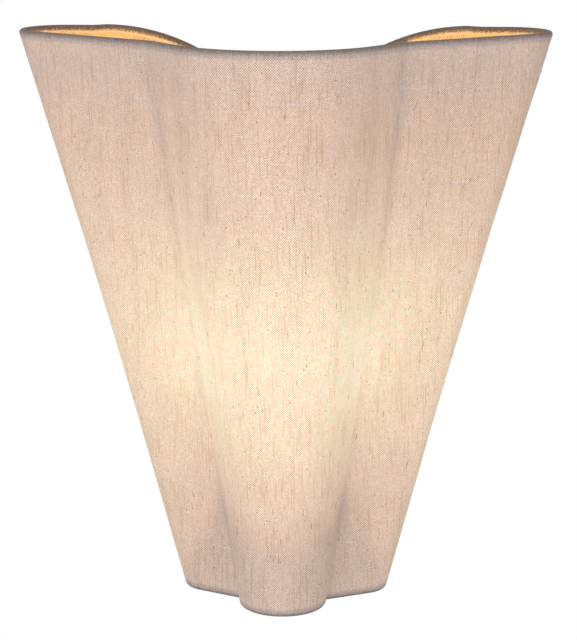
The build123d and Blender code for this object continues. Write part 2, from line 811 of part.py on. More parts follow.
# ---- write every node ----
names = {-1: "left", 1: "right"}
uprights = {side: back_wire(side) for side in names}
rings = [shade_ring(False, frame_corner_x), shade_ring(True, shoulder_x)]
save("shade_fabric", shade_fabric())
save("bottom_ring", rings[0])
save("top_ring", rings[1])
save("hook_bar", hook_bar(list(uprights.values())))
for side, name in names.items():
    save(f"back_wire_{name}", uprights[side])
    save(f"crease_wire_{name}", crease_wire(side, rings))
    save(f"shade_hook_{name}", shade_hook(side))
    save(f"hook_rivet_{name}", hook_rivet(side))

save("wall_bracket", wall_bracket())
save("cable_grommet", cable_grommet())
save("earth_tag", earth_tag())
save("earth_screw", earth_screw())
save("canopy", canopy())
save("canopy_screw_top", side_screw(1))
save("canopy_screw_bottom", side_screw(-1))

save("holder_arm", holder_arm())
save("arm_rose", arm_rose())
save("arm_washer", arm_washer())
save("arm_nut", arm_nut())
save("holder_base", holder_base())
save("holder_nut", holder_nut())
save("holder_body", holder_body())
save("holder_insert", holder_insert())
save("holder_ring", holder_ring())
save("centre_contact", centre_contact())
save("side_contact", side_strip_wall())

save("bulb_foot_contact", bulb_foot_contact())
save("bulb_foot_insulator", bulb_foot_insulator())
save("bulb_cap", bulb_cap())
save("bulb_collar", bulb_collar())
save("lamp_plate", lamp_plate())
save("bulb_envelope", bulb_envelope())

save("terminal_block", terminal_block())
save("terminal_block_screw", block_screw())
for index in range(pole_count):
    save(f"terminal_sleeve_{index + 1}", terminal_sleeve(index))
save("clamp_screws", Compound(children=[clamp_screw(x, z) for x, z in clamp_points()]))
save("live_lead", lamp_lead(1))
save("neutral_lead", lamp_lead(-1))
save("earth_lead", earth_lead())
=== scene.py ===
import json
from math import atan2, cos, pi, radians, sin, sqrt

import bpy
import numpy as np
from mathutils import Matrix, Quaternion, Vector


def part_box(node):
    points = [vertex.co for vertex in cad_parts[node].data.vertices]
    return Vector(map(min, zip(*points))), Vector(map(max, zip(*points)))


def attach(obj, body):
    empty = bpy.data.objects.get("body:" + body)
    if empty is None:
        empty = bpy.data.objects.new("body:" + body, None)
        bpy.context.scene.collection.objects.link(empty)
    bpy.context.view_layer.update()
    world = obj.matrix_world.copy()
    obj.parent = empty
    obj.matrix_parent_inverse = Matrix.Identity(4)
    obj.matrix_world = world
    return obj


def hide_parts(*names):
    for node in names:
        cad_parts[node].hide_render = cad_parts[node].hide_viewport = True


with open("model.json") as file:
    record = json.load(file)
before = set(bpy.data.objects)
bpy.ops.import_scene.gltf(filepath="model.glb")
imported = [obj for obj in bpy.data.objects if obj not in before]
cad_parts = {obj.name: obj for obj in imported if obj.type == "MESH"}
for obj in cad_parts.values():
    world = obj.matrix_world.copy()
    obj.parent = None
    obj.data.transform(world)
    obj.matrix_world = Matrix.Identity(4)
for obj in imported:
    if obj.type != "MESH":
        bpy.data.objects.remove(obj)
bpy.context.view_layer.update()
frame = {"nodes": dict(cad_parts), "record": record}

# Lengths are in metres. The wall is the plane y = 0, the front faces -Y and +Z is up.
mm = 0.001
print("frame loaded:", len(frame["nodes"]), "nodes")


# arithmetic on node sockets
def pairOf(operation, reflected=False):
    def apply(self, other):
        values = (other, self) if reflected else (self, other)
        return self.tree.math(operation, *values)
    return apply


class Field:
    # one output socket, with the usual arithmetic as Math nodes
    def __init__(self, tree, socket):
        self.tree = tree
        self.socket = socket

    __add__ = pairOf("ADD")
    __radd__ = pairOf("ADD", True)
    __sub__ = pairOf("SUBTRACT")
    __rsub__ = pairOf("SUBTRACT", True)
    __mul__ = pairOf("MULTIPLY")
    __rmul__ = pairOf("MULTIPLY", True)
    __truediv__ = pairOf("DIVIDE")
    __rtruediv__ = pairOf("DIVIDE", True)

    def sine(self):
        return self.tree.math("SINE", self)

    def cosine(self):
        return self.tree.math("COSINE", self)

    def size(self):
        return self.tree.math("ABSOLUTE", self)

    def whole(self):
        return self.tree.math("FLOOR", self)

    def atMost(self, limit):
        return self.tree.math("MINIMUM", self, limit)

    def atLeast(self, limit):
        return self.tree.math("MAXIMUM", self, limit)

    def clipped(self):
        return self.atLeast(0.0).atMost(1.0)

    def step(self, low, high):
        # soft step from 0 to 1 between two values
        settings = {"interpolation_type": "SMOOTHSTEP"}
        values = {"Value": self, "From Min": low, "From Max": high}
        return self.tree.add("ShaderNodeMapRange", settings, values)["Result"]


class Made:
    # a node whose outputs are read by name
    def __init__(self, tree, node):
        self.tree = tree
        self.node = node

    def __getitem__(self, name):
        return Field(self.tree, socketOf(self.node.outputs, name))


def socketOf(sockets, key):
    if isinstance(key, int):
        return sockets[key]
    for socket in sockets:
        if socket.identifier == key:
            return socket
    return sockets[key]


def fillRamp(ramp, stops):
    while len(ramp.elements) < len(stops):
        ramp.elements.new(1.0)
    for element, (position, colour) in zip(ramp.elements, stops):
        element.position = position
        element.color = (*colour, 1.0)


class Tree:
    # a node tree, and the material that it belongs to if it is one's
    def __init__(self, nodeTree, material=None):
        self.nodeTree = nodeTree
        self.material = material

    def feed(self, socket, value):
        if isinstance(value, Field):
            self.nodeTree.links.new(value.socket, socket)
        elif isinstance(value, (tuple, list)) and len(value) == 3 and socket.type == "RGBA":
            socket.default_value = (*value, 1.0)
        else:
            socket.default_value = value

    def add(self, kind, settings=None, values=None):
        node = self.nodeTree.nodes.new(kind)
        for name, setting in (settings or {}).items():
            if name == "stops":
                fillRamp(node.color_ramp, setting)
            else:
                setattr(node, name, setting)
        for name, value in (values or {}).items():
            self.feed(socketOf(node.inputs, name), value)
        return Made(self, node)

    def math(self, operation, *values):
        return self.add("ShaderNodeMath", {"operation": operation}, dict(enumerate(values)))[0]

    def vectorMath(self, operation, *values):
        return self.add("ShaderNodeVectorMath", {"operation": operation}, dict(enumerate(values)))[0]

    def scaled(self, vector, factor):
        return self.add("ShaderNodeVectorMath", {"operation": "SCALE"}, {0: vector, "Scale": factor})[0]

    def split(self, vector):
        parts = self.add("ShaderNodeSeparateXYZ", None, {0: vector})
        return parts[0], parts[1], parts[2]

    def join(self, x, y, z):
        return self.add("ShaderNodeCombineXYZ", None, {0: x, 1: y, 2: z})[0]

    def mixColour(self, factor, first, second, blend="MIX"):
        settings = {"data_type": "RGBA", "blend_type": blend}
        values = {"Factor_Float": factor, "A_Color": first, "B_Color": second}
        return self.add("ShaderNodeMix", settings, values)["Result_Color"]

    def tinted(self, first, second, factor=1.0):
        return self.mixColour(factor, first, second, "MULTIPLY")

    def noise(self, vector, scale, detail=2.0, roughness=0.5):
        values = {"Vector": vector, "Scale": scale, "Detail": detail, "Roughness": roughness}
        return self.add("ShaderNodeTexNoise", None, values)["Fac"]

    def whiteNoise(self, dimensions, vector):
        settings = {"noise_dimensions": dimensions}
        return self.add("ShaderNodeTexWhiteNoise", settings, {"Vector": vector})["Value"]

    def bump(self, height, strength, distance):
        values = {"Height": height, "Strength": strength, "Distance": distance}
        return self.add("ShaderNodeBump", None, values)["Normal"]

    def grain(self, spot, scale, strength):
        # shallow bump from fine noise
        return self.bump(self.noise(spot, scale), strength, 0.05 * mm)

    def attribute(self, name):
        if self.nodeTree.type == "SHADER":
            return self.add("ShaderNodeAttribute", {"attribute_name": name})["Fac"]
        stored = self.add("GeometryNodeInputNamedAttribute", {"data_type": "FLOAT"}, {"Name": name})
        return stored["Attribute"]

    def spot(self):
        return self.add("ShaderNodeTexCoord")["Object"]

    def ramp(self, value, stops):
        return self.add("ShaderNodeValToRGB", {"stops": stops}, {"Fac": value})["Color"]

    def finish(self, values):
        # ends a material's tree in its surface shader
        shader = self.add("ShaderNodeBsdfPrincipled", None, values)
        self.add("ShaderNodeOutputMaterial", None, {"Surface": shader["BSDF"]})
        return self.material


def materialTree(name):
    # the empty tree of a new material
    material = bpy.data.materials.new(name)
    material.use_nodes = True
    material.node_tree.nodes.clear()
    return Tree(material.node_tree, material)


def geometryTree(name, sizes):
    # geometry tree with one named input for each size
    nodeTree = bpy.data.node_groups.new(name, "GeometryNodeTree")
    for way in ("INPUT", "OUTPUT"):
        nodeTree.interface.new_socket("Geometry", in_out=way, socket_type="NodeSocketGeometry")
    for label, value in sizes.items():
        kind = "NodeSocketInt" if isinstance(value, int) else "NodeSocketFloat"
        nodeTree.interface.new_socket(label, in_out="INPUT", socket_type=kind)
    tree = Tree(nodeTree)
    return tree, tree.add("NodeGroupInput")


def applyTree(tree, result, hostMesh, name, sizes, material):
    # ends the tree, runs it on a host mesh and returns the result as a plain mesh object
    real = tree.add("GeometryNodeRealizeInstances", None, {"Geometry": result})
    coated = tree.add("GeometryNodeSetMaterial", None, {"Geometry": real["Geometry"], "Material": material})
    tree.add("NodeGroupOutput", None, {"Geometry": coated["Geometry"]})
    host = newObject(name + "Host", hostMesh)
    modifier = host.modifiers.new(name, "NODES")
    modifier.node_group = tree.nodeTree
    items = tree.nodeTree.interface.items_tree
    identifiers = {item.name: item.identifier for item in items if item.in_out == "INPUT"}
    for label, value in sizes.items():
        modifier[identifiers[label]] = value
    graph = bpy.context.evaluated_depsgraph_get()
    mesh = bpy.data.meshes.new_from_object(host.evaluated_get(graph))
    mesh.name = name
    host.modifiers.remove(modifier)
    bpy.data.objects.remove(host)
    return newObject(name, mesh)


def newObject(name, content):
    made = bpy.data.objects.new(name, content)
    bpy.context.scene.collection.objects.link(made)
    return made


def newMesh(name, points, faces=(), edges=()):
    mesh = bpy.data.meshes.new(name)
    mesh.from_pydata([tuple(float(v) for v in p) for p in points], list(edges), list(faces))
    mesh.update()
    return mesh


def storeValues(mesh, name, values):
    layer = mesh.attributes.new(name, "FLOAT", "POINT")
    layer.data.foreach_set("value", np.asarray(values, np.float32))


def smoothFaces(mesh):
    mesh.polygons.foreach_set("use_smooth", [True] * len(mesh.polygons))


def turnTowards(thing, direction):
    thing.rotation_mode = "QUATERNION"
    thing.rotation_quaternion = direction.to_track_quat("-Z", "Y")


# camera, lights and stage
photo = {"height": 640, "focal": 2301.6, "sensor": 36.0}
cameraPlace = {
    "azimuth": 3.2,
    "elevation": 12.52,
    "roll": -0.02,
    "distance": 1.38,
    "aim": (0.004, -0.060, 0.1212),
}
studio = {
    "ambient": (0.49, 0.49, 0.51),
    "floorHeight": -1.25,
    "floorSize": 8.0,
    "floorColour": (0.86, 0.86, 0.85),
    "aim": (0.0, -0.06, 0.11),
}
lamps = {
    "keyLight": {"place": (-0.9, -2.0, 1.1), "size": 1.6, "power": 28.5},
    "fillLight": {"place": (1.5, -1.5, 0.4), "size": 1.6, "power": 10.7},
}


def addCamera():
    camera = newObject("photoCamera", bpy.data.cameras.new("photoCamera"))
    azimuth = radians(cameraPlace["azimuth"])
    elevation = radians(cameraPlace["elevation"])
    back = Vector((sin(azimuth) * cos(elevation), -cos(azimuth) * cos(elevation), sin(elevation)))
    camera.location = Vector(cameraPlace["aim"]) + back * cameraPlace["distance"]
    turnTowards(camera, -back)
    roll = Quaternion((0, 0, 1), radians(cameraPlace["roll"]))
    camera.rotation_quaternion = camera.rotation_quaternion @ roll
    camera.data.sensor_width = photo["sensor"]
    camera.data.lens = photo["focal"] / photo["height"] * photo["sensor"]
    bpy.context.scene.camera = camera
    bpy.context.scene.view_settings.view_transform = "Standard"


def whiteWhenSeen(tree, plain, brightKind, outputKind):
    # ends a tree so that the camera, metal and glass see white there, and the rest of the light is plain
    white = tree.add(brightKind, None, {"Color": (1.0, 1.0, 1.0), "Strength": 1.0})
    path = tree.add("ShaderNodeLightPath")
    seen = path["Is Camera Ray"].atLeast(path["Is Glossy Ray"]).atLeast(path["Is Transmission Ray"])
    shown = tree.add("ShaderNodeMixShader", None, {0: seen, 1: plain[0], 2: white[0]})
    tree.add(outputKind, None, {"Surface": shown[0]})


def addStage():
    world = bpy.data.worlds.new("studio")
    bpy.context.scene.world = world
    world.use_nodes = True
    world.node_tree.nodes.clear()
    tree = Tree(world.node_tree)
    ambient = tree.add("ShaderNodeBackground", None, {"Color": studio["ambient"], "Strength": 1.0})
    whiteWhenSeen(tree, ambient, "ShaderNodeBackground", "ShaderNodeOutputWorld")
    half = studio["floorSize"] / 2
    corners = [(x * half, y * half, studio["floorHeight"]) for x, y in ((-1, -1), (1, -1), (1, 1), (-1, 1))]
    floor = newObject("floor", newMesh("floor", corners, [(0, 1, 2, 3)]))
    tree = materialTree("floorPaint")
    paint = tree.add("ShaderNodeBsdfDiffuse", None, {"Color": studio["floorColour"]})
    whiteWhenSeen(tree, paint, "ShaderNodeEmission", "ShaderNodeOutputMaterial")
    floor.data.materials.append(tree.material)
    for name, lamp in lamps.items():
        light = newObject(name, bpy.data.lights.new(name, "AREA"))
        light.data.size = lamp["size"]
        light.data.energy = lamp["power"]
        light.location = lamp["place"]
        turnTowards(light, Vector(studio["aim"]) - Vector(lamp["place"]))


addCamera()
addStage()
print("camera and stage made")


# the shade's sizes
shadeLow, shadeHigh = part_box("shade_fabric")
shade = {
    "Bottom": shadeLow.z,
    "Height": shadeHigh.z - shadeLow.z,
    "Wall gap": -shadeHigh.y,
    "Back half width": 40.0 * mm,
    "Top half width": 160.0 * mm,
    "Top depth": 154.0 * mm,
    "Top front radius": 68.5 * mm,
    "Top flank slope": 54.5,
    "Top flank length": 31.0 * mm,
    "Top crease radius": 8.0 * mm,
    "Top lobe radius": 26.0 * mm,
    "Bottom half width": 63.05 * mm,
    "Bottom depth": 77.0 * mm,
    "Bottom front radius": 26.5 * mm,
    "Bottom flank slope": 85.0,
    "Bottom flank length": 8.5 * mm,
    "Bottom crease radius": 2.5 * mm,
    "Bottom lobe radius": 16.0 * mm,
    "Draw in": 1.8 * mm,
    "Crease ease": 1.35 * mm,
    "Ripple height": 0.9 * mm,
    "Ripple size": 16.0,
    "Seed": 7,
}
shoulder = {
    "flat": 23.0 * mm,
    "drop": 23.0 * mm,
    "crest": 0.5 * mm,
    "crestShare": 1 / 3,
    "corner": 12.0 * mm,
    "foot": 5.6 * mm,
}
hem = {
    "wireInset": 2.55 * mm,
    "wallInset": 0.4 * mm,
    "depth": 5.2 * mm,
    "ragged": ((0.54 * mm, 3, 3), (1.44 * mm, 21, 20)),
    "raggedLimits": (-1.4 * mm, 0.3 * mm),
    "rollSteps": 8,
    "legSteps": 4,
    "thickness": 0.7 * mm,
}
# where the stretched cloth is drawn in between the rings and where the straight wires hold it out
# (places on the outline and slope), and over what reach it is too tight to ripple
tension = {
    "drawnIn": (1.0, 2.9, 2.0),
    "heldOut": (2.5, 4.8, 1.5),
    "creaseFade": 0.8,
    "edgeFade": 25 * mm,
}
# columns of the cloth on each piece of the half outline, from the back edge to the front's middle
pieceColumns = {"back": 26, "lobe": 26, "panel": 14, "crease": 10, "flank": 10, "front": 26}
wallRows = 112
pieceCount = len(pieceColumns)


def mixed(low, high, share):
    return low + (high - low) * share


def atHeight(sizes, label, share):
    return mixed(sizes["Bottom " + label], sizes["Top " + label], share)


def between(place, low, high, slope):
    # 1 between two places on the outline, and falling to 0 at them
    return ((place - low) * slope).clipped() * ((high - place) * slope).clipped()


def wrapOnOutline(tree, sizes, chart):
    # turns chart points (column, inset, height) into points of the three-lobed shade
    column, inset, height = tree.split(chart)
    share = (height - sizes["Bottom"]) / sizes["Height"]
    side = tree.math("SIGN", column)
    place = pieceCount - column.size()
    bow = (share * pi).sine()
    inset = inset + sizes["Draw in"] * bow * between(place, *tension["drawnIn"])
    inset = inset - sizes["Crease ease"] * bow * between(place, *tension["heldOut"])

    def through(number):
        return (place - number).clipped()

    def arc(centreX, centreY, radius, first, last, part):
        # an arc's first point, the point that is a part of the way along it, and its last point
        turns = [first + (last - first) * done for done in (0.0, part, 1.0)]
        return [(centreX + radius * turn.cosine(), centreY + radius * turn.sine()) for turn in turns]

    lobeRadius = atHeight(sizes, "lobe radius", share)
    creaseRadius = atHeight(sizes, "crease radius", share)
    frontRadius = atHeight(sizes, "front radius", share)
    flankLength = atHeight(sizes, "flank length", share)
    lobeX = atHeight(sizes, "half width", share) - lobeRadius
    frontY = atHeight(sizes, "depth", share) - frontRadius
    frontTurn = (90 - atHeight(sizes, "flank slope", share)) * (pi / 180)
    normalX, normalY = frontTurn.cosine(), frontTurn.sine()
    meetX = normalX * frontRadius + normalY * flankLength
    meetY = frontY + normalY * frontRadius - normalX * flankLength
    awayX, awayY = meetX - lobeX, meetY - lobeRadius
    away = tree.math("SQRT", awayX * awayX + awayY * awayY)
    panelTurn = tree.math("ARCTAN2", awayY, awayX) - tree.math("ARCCOSINE", lobeRadius / away)
    panelX, panelY = panelTurn.cosine(), panelTurn.sine()
    pull = creaseRadius / (1 + normalX * panelX + normalY * panelY)
    creaseX = meetX + (normalX + panelX) * pull
    creaseY = meetY + (normalY + panelY) * pull
    zero = column * 0
    lobe = arc(lobeX, lobeRadius, lobeRadius - inset, zero - pi / 2, panelTurn, through(1))
    crease = arc(creaseX, creaseY, creaseRadius + inset, panelTurn + pi, frontTurn + pi, through(3))
    front = arc(zero, frontY, frontRadius - inset, frontTurn, zero + pi / 2, through(5))
    spot = []
    for axis, start in enumerate((sizes["Back half width"], inset)):
        total = start + (lobe[0][axis] - start) * through(0)
        total = total + (lobe[1][axis] - lobe[0][axis])
        total = total + (crease[0][axis] - lobe[2][axis]) * through(2)
        total = total + (crease[1][axis] - crease[0][axis])
        total = total + (front[0][axis] - crease[2][axis]) * through(4)
        spot.append(total + (front[1][axis] - front[0][axis]))
    return tree.join(side * spot[0], 0 - sizes["Wall gap"] - spot[1], height)


# chart of the cloth: the flat net of its points before the outline bends it
shadeTop = shade["Bottom"] + shade["Height"]
topLobeX = shade["Top half width"] - shade["Top lobe radius"]
bottomLobeX = shade["Bottom half width"] - shade["Bottom lobe radius"]
shoulderX = topLobeX - shoulder["flat"]
shoulderRun = shoulderX - shade["Back half width"]
shoulderRadius = (shoulderRun**2 + shoulder["drop"] ** 2) / (2 * shoulder["drop"])
bigCentre = Vector((shoulderX, shadeTop - shoulderRadius))
bigRadius = shoulderRadius + shoulder["crest"]
smallX = shade["Back half width"] + shoulder["corner"]
smallRise = sqrt((bigRadius - shoulder["corner"]) ** 2 - (bigCentre.x - smallX) ** 2)
smallCentre = Vector((smallX, bigCentre.y + smallRise))
meetTurn = atan2(smallCentre.y - bigCentre.y, smallCentre.x - bigCentre.x)


def lobeStart(z):
    return mixed(bottomLobeX, topLobeX, (z - shade["Bottom"]) / shade["Height"])


def columnOf(x, z):
    # outline column of a point of the back plane; past the lobe's start it goes on round the lobe
    reach = lobeStart(z)
    if x <= reach:
        return (x - shade["Back half width"]) / (reach - shade["Back half width"])
    return 1 + (x - reach) / (pi * shade["Bottom lobe radius"])


def roundedFoot(x, z, inward):
    # rounds the corner between an upright edge and the bottom edge
    radius = shoulder["foot"] - inward
    centreX = shade["Back half width"] + shoulder["foot"]
    centreZ = shade["Bottom"] + shoulder["foot"]
    a, b = (centreX - x) / radius, (centreZ - z) / radius
    if a <= 0 or b <= 0:
        return x, z
    return centreX - a * sqrt(1 - b * b / 2) * radius, centreZ - b * sqrt(1 - a * a / 2) * radius


def topEdge(part, inward):
    # (x, z) on the back's upper edge, from the upright's end to the lobe, moved in from the edge
    cornerLength = (pi - meetTurn) * shoulder["corner"]
    arcLength = (meetTurn - pi / 2) * bigRadius
    total = cornerLength + arcLength + shoulder["flat"]
    run = part * total
    if run < cornerLength:
        turn = pi - run / shoulder["corner"]
        radius = shoulder["corner"] - inward
        return smallCentre.x + radius * cos(turn), smallCentre.y + radius * sin(turn)
    run -= cornerLength
    if run < arcLength:
        turn = meetTurn - run / bigRadius
        radius = bigRadius - inward
        return bigCentre.x + radius * cos(turn), bigCentre.y + radius * sin(turn)
    run = (run - arcLength) / shoulder["flat"]
    z = shadeTop - inward + shoulder["crest"] * (1 - min(1.0, run / shoulder["crestShare"])) ** 2
    return mixed(shoulderX, lobeStart(z), run), z


def bottomEdge(part, inward):
    z = shade["Bottom"] + inward
    return mixed(shade["Back half width"] + inward, lobeStart(z), part), z


def halfColumns():
    # column coordinates of one half, from 0 at the back edge to 6 at the middle of the front
    places = [0.0]
    for number, count in enumerate(pieceColumns.values()):
        places += [number + (step + 1) / count for step in range(count)]
    return places


def edgePoint(kind, side, where, inward):
    # chart (column, height) of a point near the cloth's edge; x, z are the back plane's
    if kind in ("top", "bottom") and where >= 1:
        z = shadeTop - inward if kind == "top" else shade["Bottom"] + inward
        return side * (pieceCount - where), z
    if kind == "top":
        x, z = topEdge(where, inward)
    else:
        x, z = bottomEdge(where, inward) if kind == "bottom" else (shade["Back half width"] + inward, where)
        x, z = roundedFoot(x, z, inward)
    return side * (pieceCount - columnOf(x, z)), z


def wallChart():
    # rows of (column, inset, height) from the bottom to the top, right back edge first
    half = halfColumns()
    signed = [(1, c) for c in half] + [(-1, c) for c in half[-2::-1]]
    rows = []
    for row in range(wallRows + 1):
        share = row / wallRows
        line = []
        for side, place in signed:
            if place >= 1:
                low = edgePoint("bottom", side, place, hem["wireInset"])[1]
                high = edgePoint("top", side, place, hem["wireInset"])[1]
                line.append((side * (pieceCount - place), hem["wallInset"], mixed(low, high, share)))
                continue
            lowX, lowZ = bottomEdge(place, hem["wireInset"])
            highX, highZ = topEdge(place, hem["wireInset"])
            x, z = roundedFoot(mixed(lowX, highX, share), mixed(lowZ, highZ, share), hem["wireInset"])
            line.append((side * (pieceCount - columnOf(x, z)), hem["wallInset"], z))
        rows.append(line)
    return rows, signed


def averagedNoise(chance, count, window, margin):
    # random values along the hem, each the mean of its neighbours in a window
    values = chance.normal(size=count + 2 * margin)
    return np.convolve(values, np.ones(window) / window, "same")[margin:-margin]


def clothChart():
    # wall net plus the hem that rolls over the frame wires all round its edge
    rows, signed = wallChart()
    width = len(signed)
    points = [p for line in rows for p in line]
    edgeIn = [hem["wireInset"]] * len(points)
    fold = [0.0] * len(points)
    faces = []
    for row in range(wallRows):
        for col in range(width - 1):
            corner = row * width + col
            faces.append((corner, corner + width, corner + width + 1, corner + 1))
    loop = [("bottom", s, c, col) for col, (s, c) in enumerate(signed)]
    for row in range(1, wallRows):
        loop.append(("side", -1, rows[row][-1][2], row * width + width - 1))
    loop += [("top", s, c, wallRows * width + width - 1 - n) for n, (s, c) in enumerate(reversed(signed))]
    for row in range(wallRows - 1, 0, -1):
        loop.append(("side", 1, rows[row][0][2], row * width))
    chance = np.random.default_rng(shade["Seed"])
    count = len(loop)
    ragged = sum(height * averagedNoise(chance, count, *sizes) for height, *sizes in hem["ragged"])
    ragged = np.clip(ragged, *hem["raggedLimits"])
    ring = [entry[3] for entry in loop]
    rollRadius = hem["wireInset"] - hem["wallInset"]
    for step in range(1, hem["rollSteps"] + hem["legSteps"] + 1):
        rolled = min(step / hem["rollSteps"], 1.0)
        down = max(step - hem["rollSteps"], 0) / hem["legSteps"]
        start = len(points)
        for number, (kind, side, where, _) in enumerate(loop):
            inward = hem["wireInset"] - rollRadius * sin(pi * rolled)
            inset = hem["wireInset"] - rollRadius * cos(pi * rolled)
            inward += down * (hem["depth"] - hem["wireInset"] + ragged[number])
            column, z = edgePoint(kind, side, where, inward)
            points.append((column, inset, z))
            edgeIn.append(inward)
            fold.append(rolled + down)
        fresh = list(range(start, len(points)))
        for number in range(count):
            after = (number + 1) % count
            faces.append((ring[number], ring[after], fresh[after], fresh[number]))
        ring = fresh
    return points, faces, fold, edgeIn, width, loop


def seededSpot(tree, inputs):
    # the points' positions, moved by the seed, so that noise on them changes with it
    spot = tree.add("GeometryNodeInputPosition")["Position"]
    return tree.vectorMath("ADD", spot, tree.join(inputs["Seed"] * 1.0, 0.0, 0.0))


def wrapTree():
    tree, sizes = geometryTree("wrapOnOutline", shade)
    chart = tree.add("GeometryNodeInputPosition")["Position"]
    places = wrapOnOutline(tree, sizes, chart)
    wrapped = tree.add("GeometryNodeSetPosition", None, {"Geometry": sizes["Geometry"], "Position": places})
    # the cloth ripples slightly between its wires
    wave = tree.noise(seededSpot(tree, sizes), sizes["Ripple size"], 1.5) - 0.5
    slack = wave * sizes["Ripple height"] * tree.attribute("slack")
    offset = tree.scaled(tree.add("GeometryNodeInputNormal")["Normal"], slack)
    rippled = tree.add("GeometryNodeSetPosition", None, {"Geometry": wrapped["Geometry"], "Offset": offset})
    return tree, rippled["Geometry"]


# how the lamp lights the cloth
lampGlow = {
    "sourceShares": (0.70, 0.84, 0.97),  # how high in the envelope each source is
    "sourceWeights": (0.3, 0.4, 0.3),
    "holderReach": (13 * mm, 32 * mm),  # the holder's shadow, from its core to its edge
    "fullDistance": 70 * mm,
    "facingPower": 0.25,
    "falloff": 1.3,
    "clothReturn": 0.40,  # the part of the light that the cloth sends on
    "bounces": 6,
    "bounceNet": (24, 56),
    "gain": 0.64,
    "loss": 0.16,
    "lobeReturn": 0.16,  # what the wall adds in the side lobes
    "lobeRange": (0.40, 0.65),
}


def lampSources():
    low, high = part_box("bulb_envelope")
    centre = (low + high) / 2
    return [np.array((centre.x, centre.y, mixed(low.z, high.z, s))) for s in lampGlow["sourceShares"]]


def directLight(points, inwards):
    # light that falls on the cloth's inside straight from the lamp, past its holder
    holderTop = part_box("holder_ring")[1].z
    total = np.zeros(points.shape[:-1])
    for source, weight in zip(lampSources(), lampGlow["sourceWeights"]):
        way = source - points
        distance = np.linalg.norm(way, axis=-1)
        facing = np.maximum((way * inwards).sum(-1) / distance, 1e-3) ** lampGlow["facingPower"]
        part = np.clip((source[2] - holderTop) / np.maximum(source[2] - points[..., 2], 1e-6), 0, 1)
        passing = np.hypot(*np.moveaxis((points - source)[..., :2] * part[..., None], -1, 0))
        low, high = lampGlow["holderReach"]
        unshaded = np.clip((passing - low) / (high - low), 0, 1)
        near = (distance / lampGlow["fullDistance"]) ** lampGlow["falloff"]
        total += weight * facing / near * np.where(points[..., 2] < holderTop, unshaded, 1)
    return total


def spread(values, shape):
    # bilinear spread of coarse values over the fine net
    fineRows, fineColumns = (np.linspace(0, old - 1, new) for old, new in zip(values.shape, shape))
    wide = np.array([np.interp(fineColumns, np.arange(values.shape[1]), line) for line in values])
    return np.array([np.interp(fineRows, np.arange(values.shape[0]), line) for line in wide.T]).T


def outwardNormals(net):
    along = np.gradient(net, axis=1)
    up = np.gradient(net, axis=0)
    normals = np.cross(along, up)
    normals /= np.linalg.norm(normals, axis=-1, keepdims=True)
    middle = normals[len(net) // 2, net.shape[1] // 2]
    return normals if middle[1] < 0 else -normals


def clothLight(net):
    # light on the inside of each wall point: straight from the lamp plus what the cloth sends on
    inwards = -outwardNormals(net)
    direct = directLight(net, inwards)
    netSizes = zip(net.shape, lampGlow["bounceNet"])
    coarse = np.ix_(*(np.linspace(0, fine - 1, few).round().astype(int) for fine, few in netSizes))
    places = net[coarse]
    facing = inwards[coarse].reshape(-1, 3)
    cells = np.cross(np.gradient(places, axis=0), np.gradient(places, axis=1))
    areas = np.linalg.norm(cells, axis=-1).ravel()
    places = places.reshape(-1, 3)
    way = places[None] - places[:, None]
    square = (way**2).sum(-1) + areas[None]
    leaving = np.maximum((way * facing[:, None]).sum(-1), 0)
    arriving = np.maximum(-(way * facing[None]).sum(-1), 0)
    transfer = areas[None] * leaving * arriving / (pi * square**2)
    start = direct[coarse].ravel()
    light = start.copy()
    for _ in range(lampGlow["bounces"]):
        light = start + lampGlow["clothReturn"] * transfer @ light
    return direct + spread((light - start).reshape(lampGlow["bounceNet"]), net.shape[:2])


def outlineRun(net):
    # distance along each row of the net from the middle of the front
    steps = np.linalg.norm(np.diff(net, axis=1), axis=-1)
    run = np.concatenate([np.zeros((len(net), 1)), np.cumsum(steps, axis=1)], axis=1)
    return run - run[:, [net.shape[1] // 2]]


# linen: its colours and light, its relief, its thread pattern, and what marks the yarn
linen = {
    "colour": (0.660, 0.517, 0.437),
    "slubColour": (0.350, 0.195, 0.085),
    "fleckColour": (0.390, 0.180, 0.055),
    "knotColour": (0.120, 0.070, 0.042),
    "knotShare": 0.8,
    "paleThread": (0.670, 0.610, 0.627),
    "paleShare": 0.85,
    "paleDots": 0.9,
    "streakSlub": 1.2,
    "streakGrain": 0.65,
    "dotLight": (0.78, 0.55, 0.16),
    "insideColour": (0.460, 0.330, 0.190),
    # painted shade colour for the top of the hem's roll inside the shade, where the lamp hardly reaches
    "hemInsideColour": (0.150, 0.098, 0.072),
    "hemTint": (0.77, 0.81, 0.88),
    "rimShade": 0.34,  # painted shade on the rim's top, which faces away from the lamps
    "rimRange": (0.3 * mm, 4.2 * mm),
    # painted shadow of the crease wires, as a share of the tone
    "creaseShade": 0.06,
    "wireHalfWidth": 1.7 * mm,
    "flankShadow": 0.08,  # light lost beside the crease wires
    "flankReach": 9 * mm,
    "hemEdge": (-1.0 * mm, 0.7 * mm),
    "hemDrift": 1.6 * mm,
    "hemRag": 0.9 * mm,
    "hemBlock": 0.93,  # light held back by the double cloth
    "legRange": (0.95, 1.50),
    "legRag": 0.30,
    "legGlow": 0.78,
    "wallGlow": 1.16,
}
linenRelief = {"humps": 0.8, "dots": -0.5, "slub": 0.9}
weaving = {
    "pitch": 0.70 * mm,
    "warpWander": 1.2 * mm,
    "weftWander": 6.0 * mm,
    "wanderNoise": ((30, 14, 0), (12, 30, 4)),  # scale across and along, and layer
    "knotThreads": (2.2, 3.4),
    "knotEdge": (0.35, 0.85),
    "slubStretch": 0.020,
    "grainStretch": 0.11,
    "weftSlubStretch": 0.018,
    "cloudStretch": (0.06, 0.014),
}
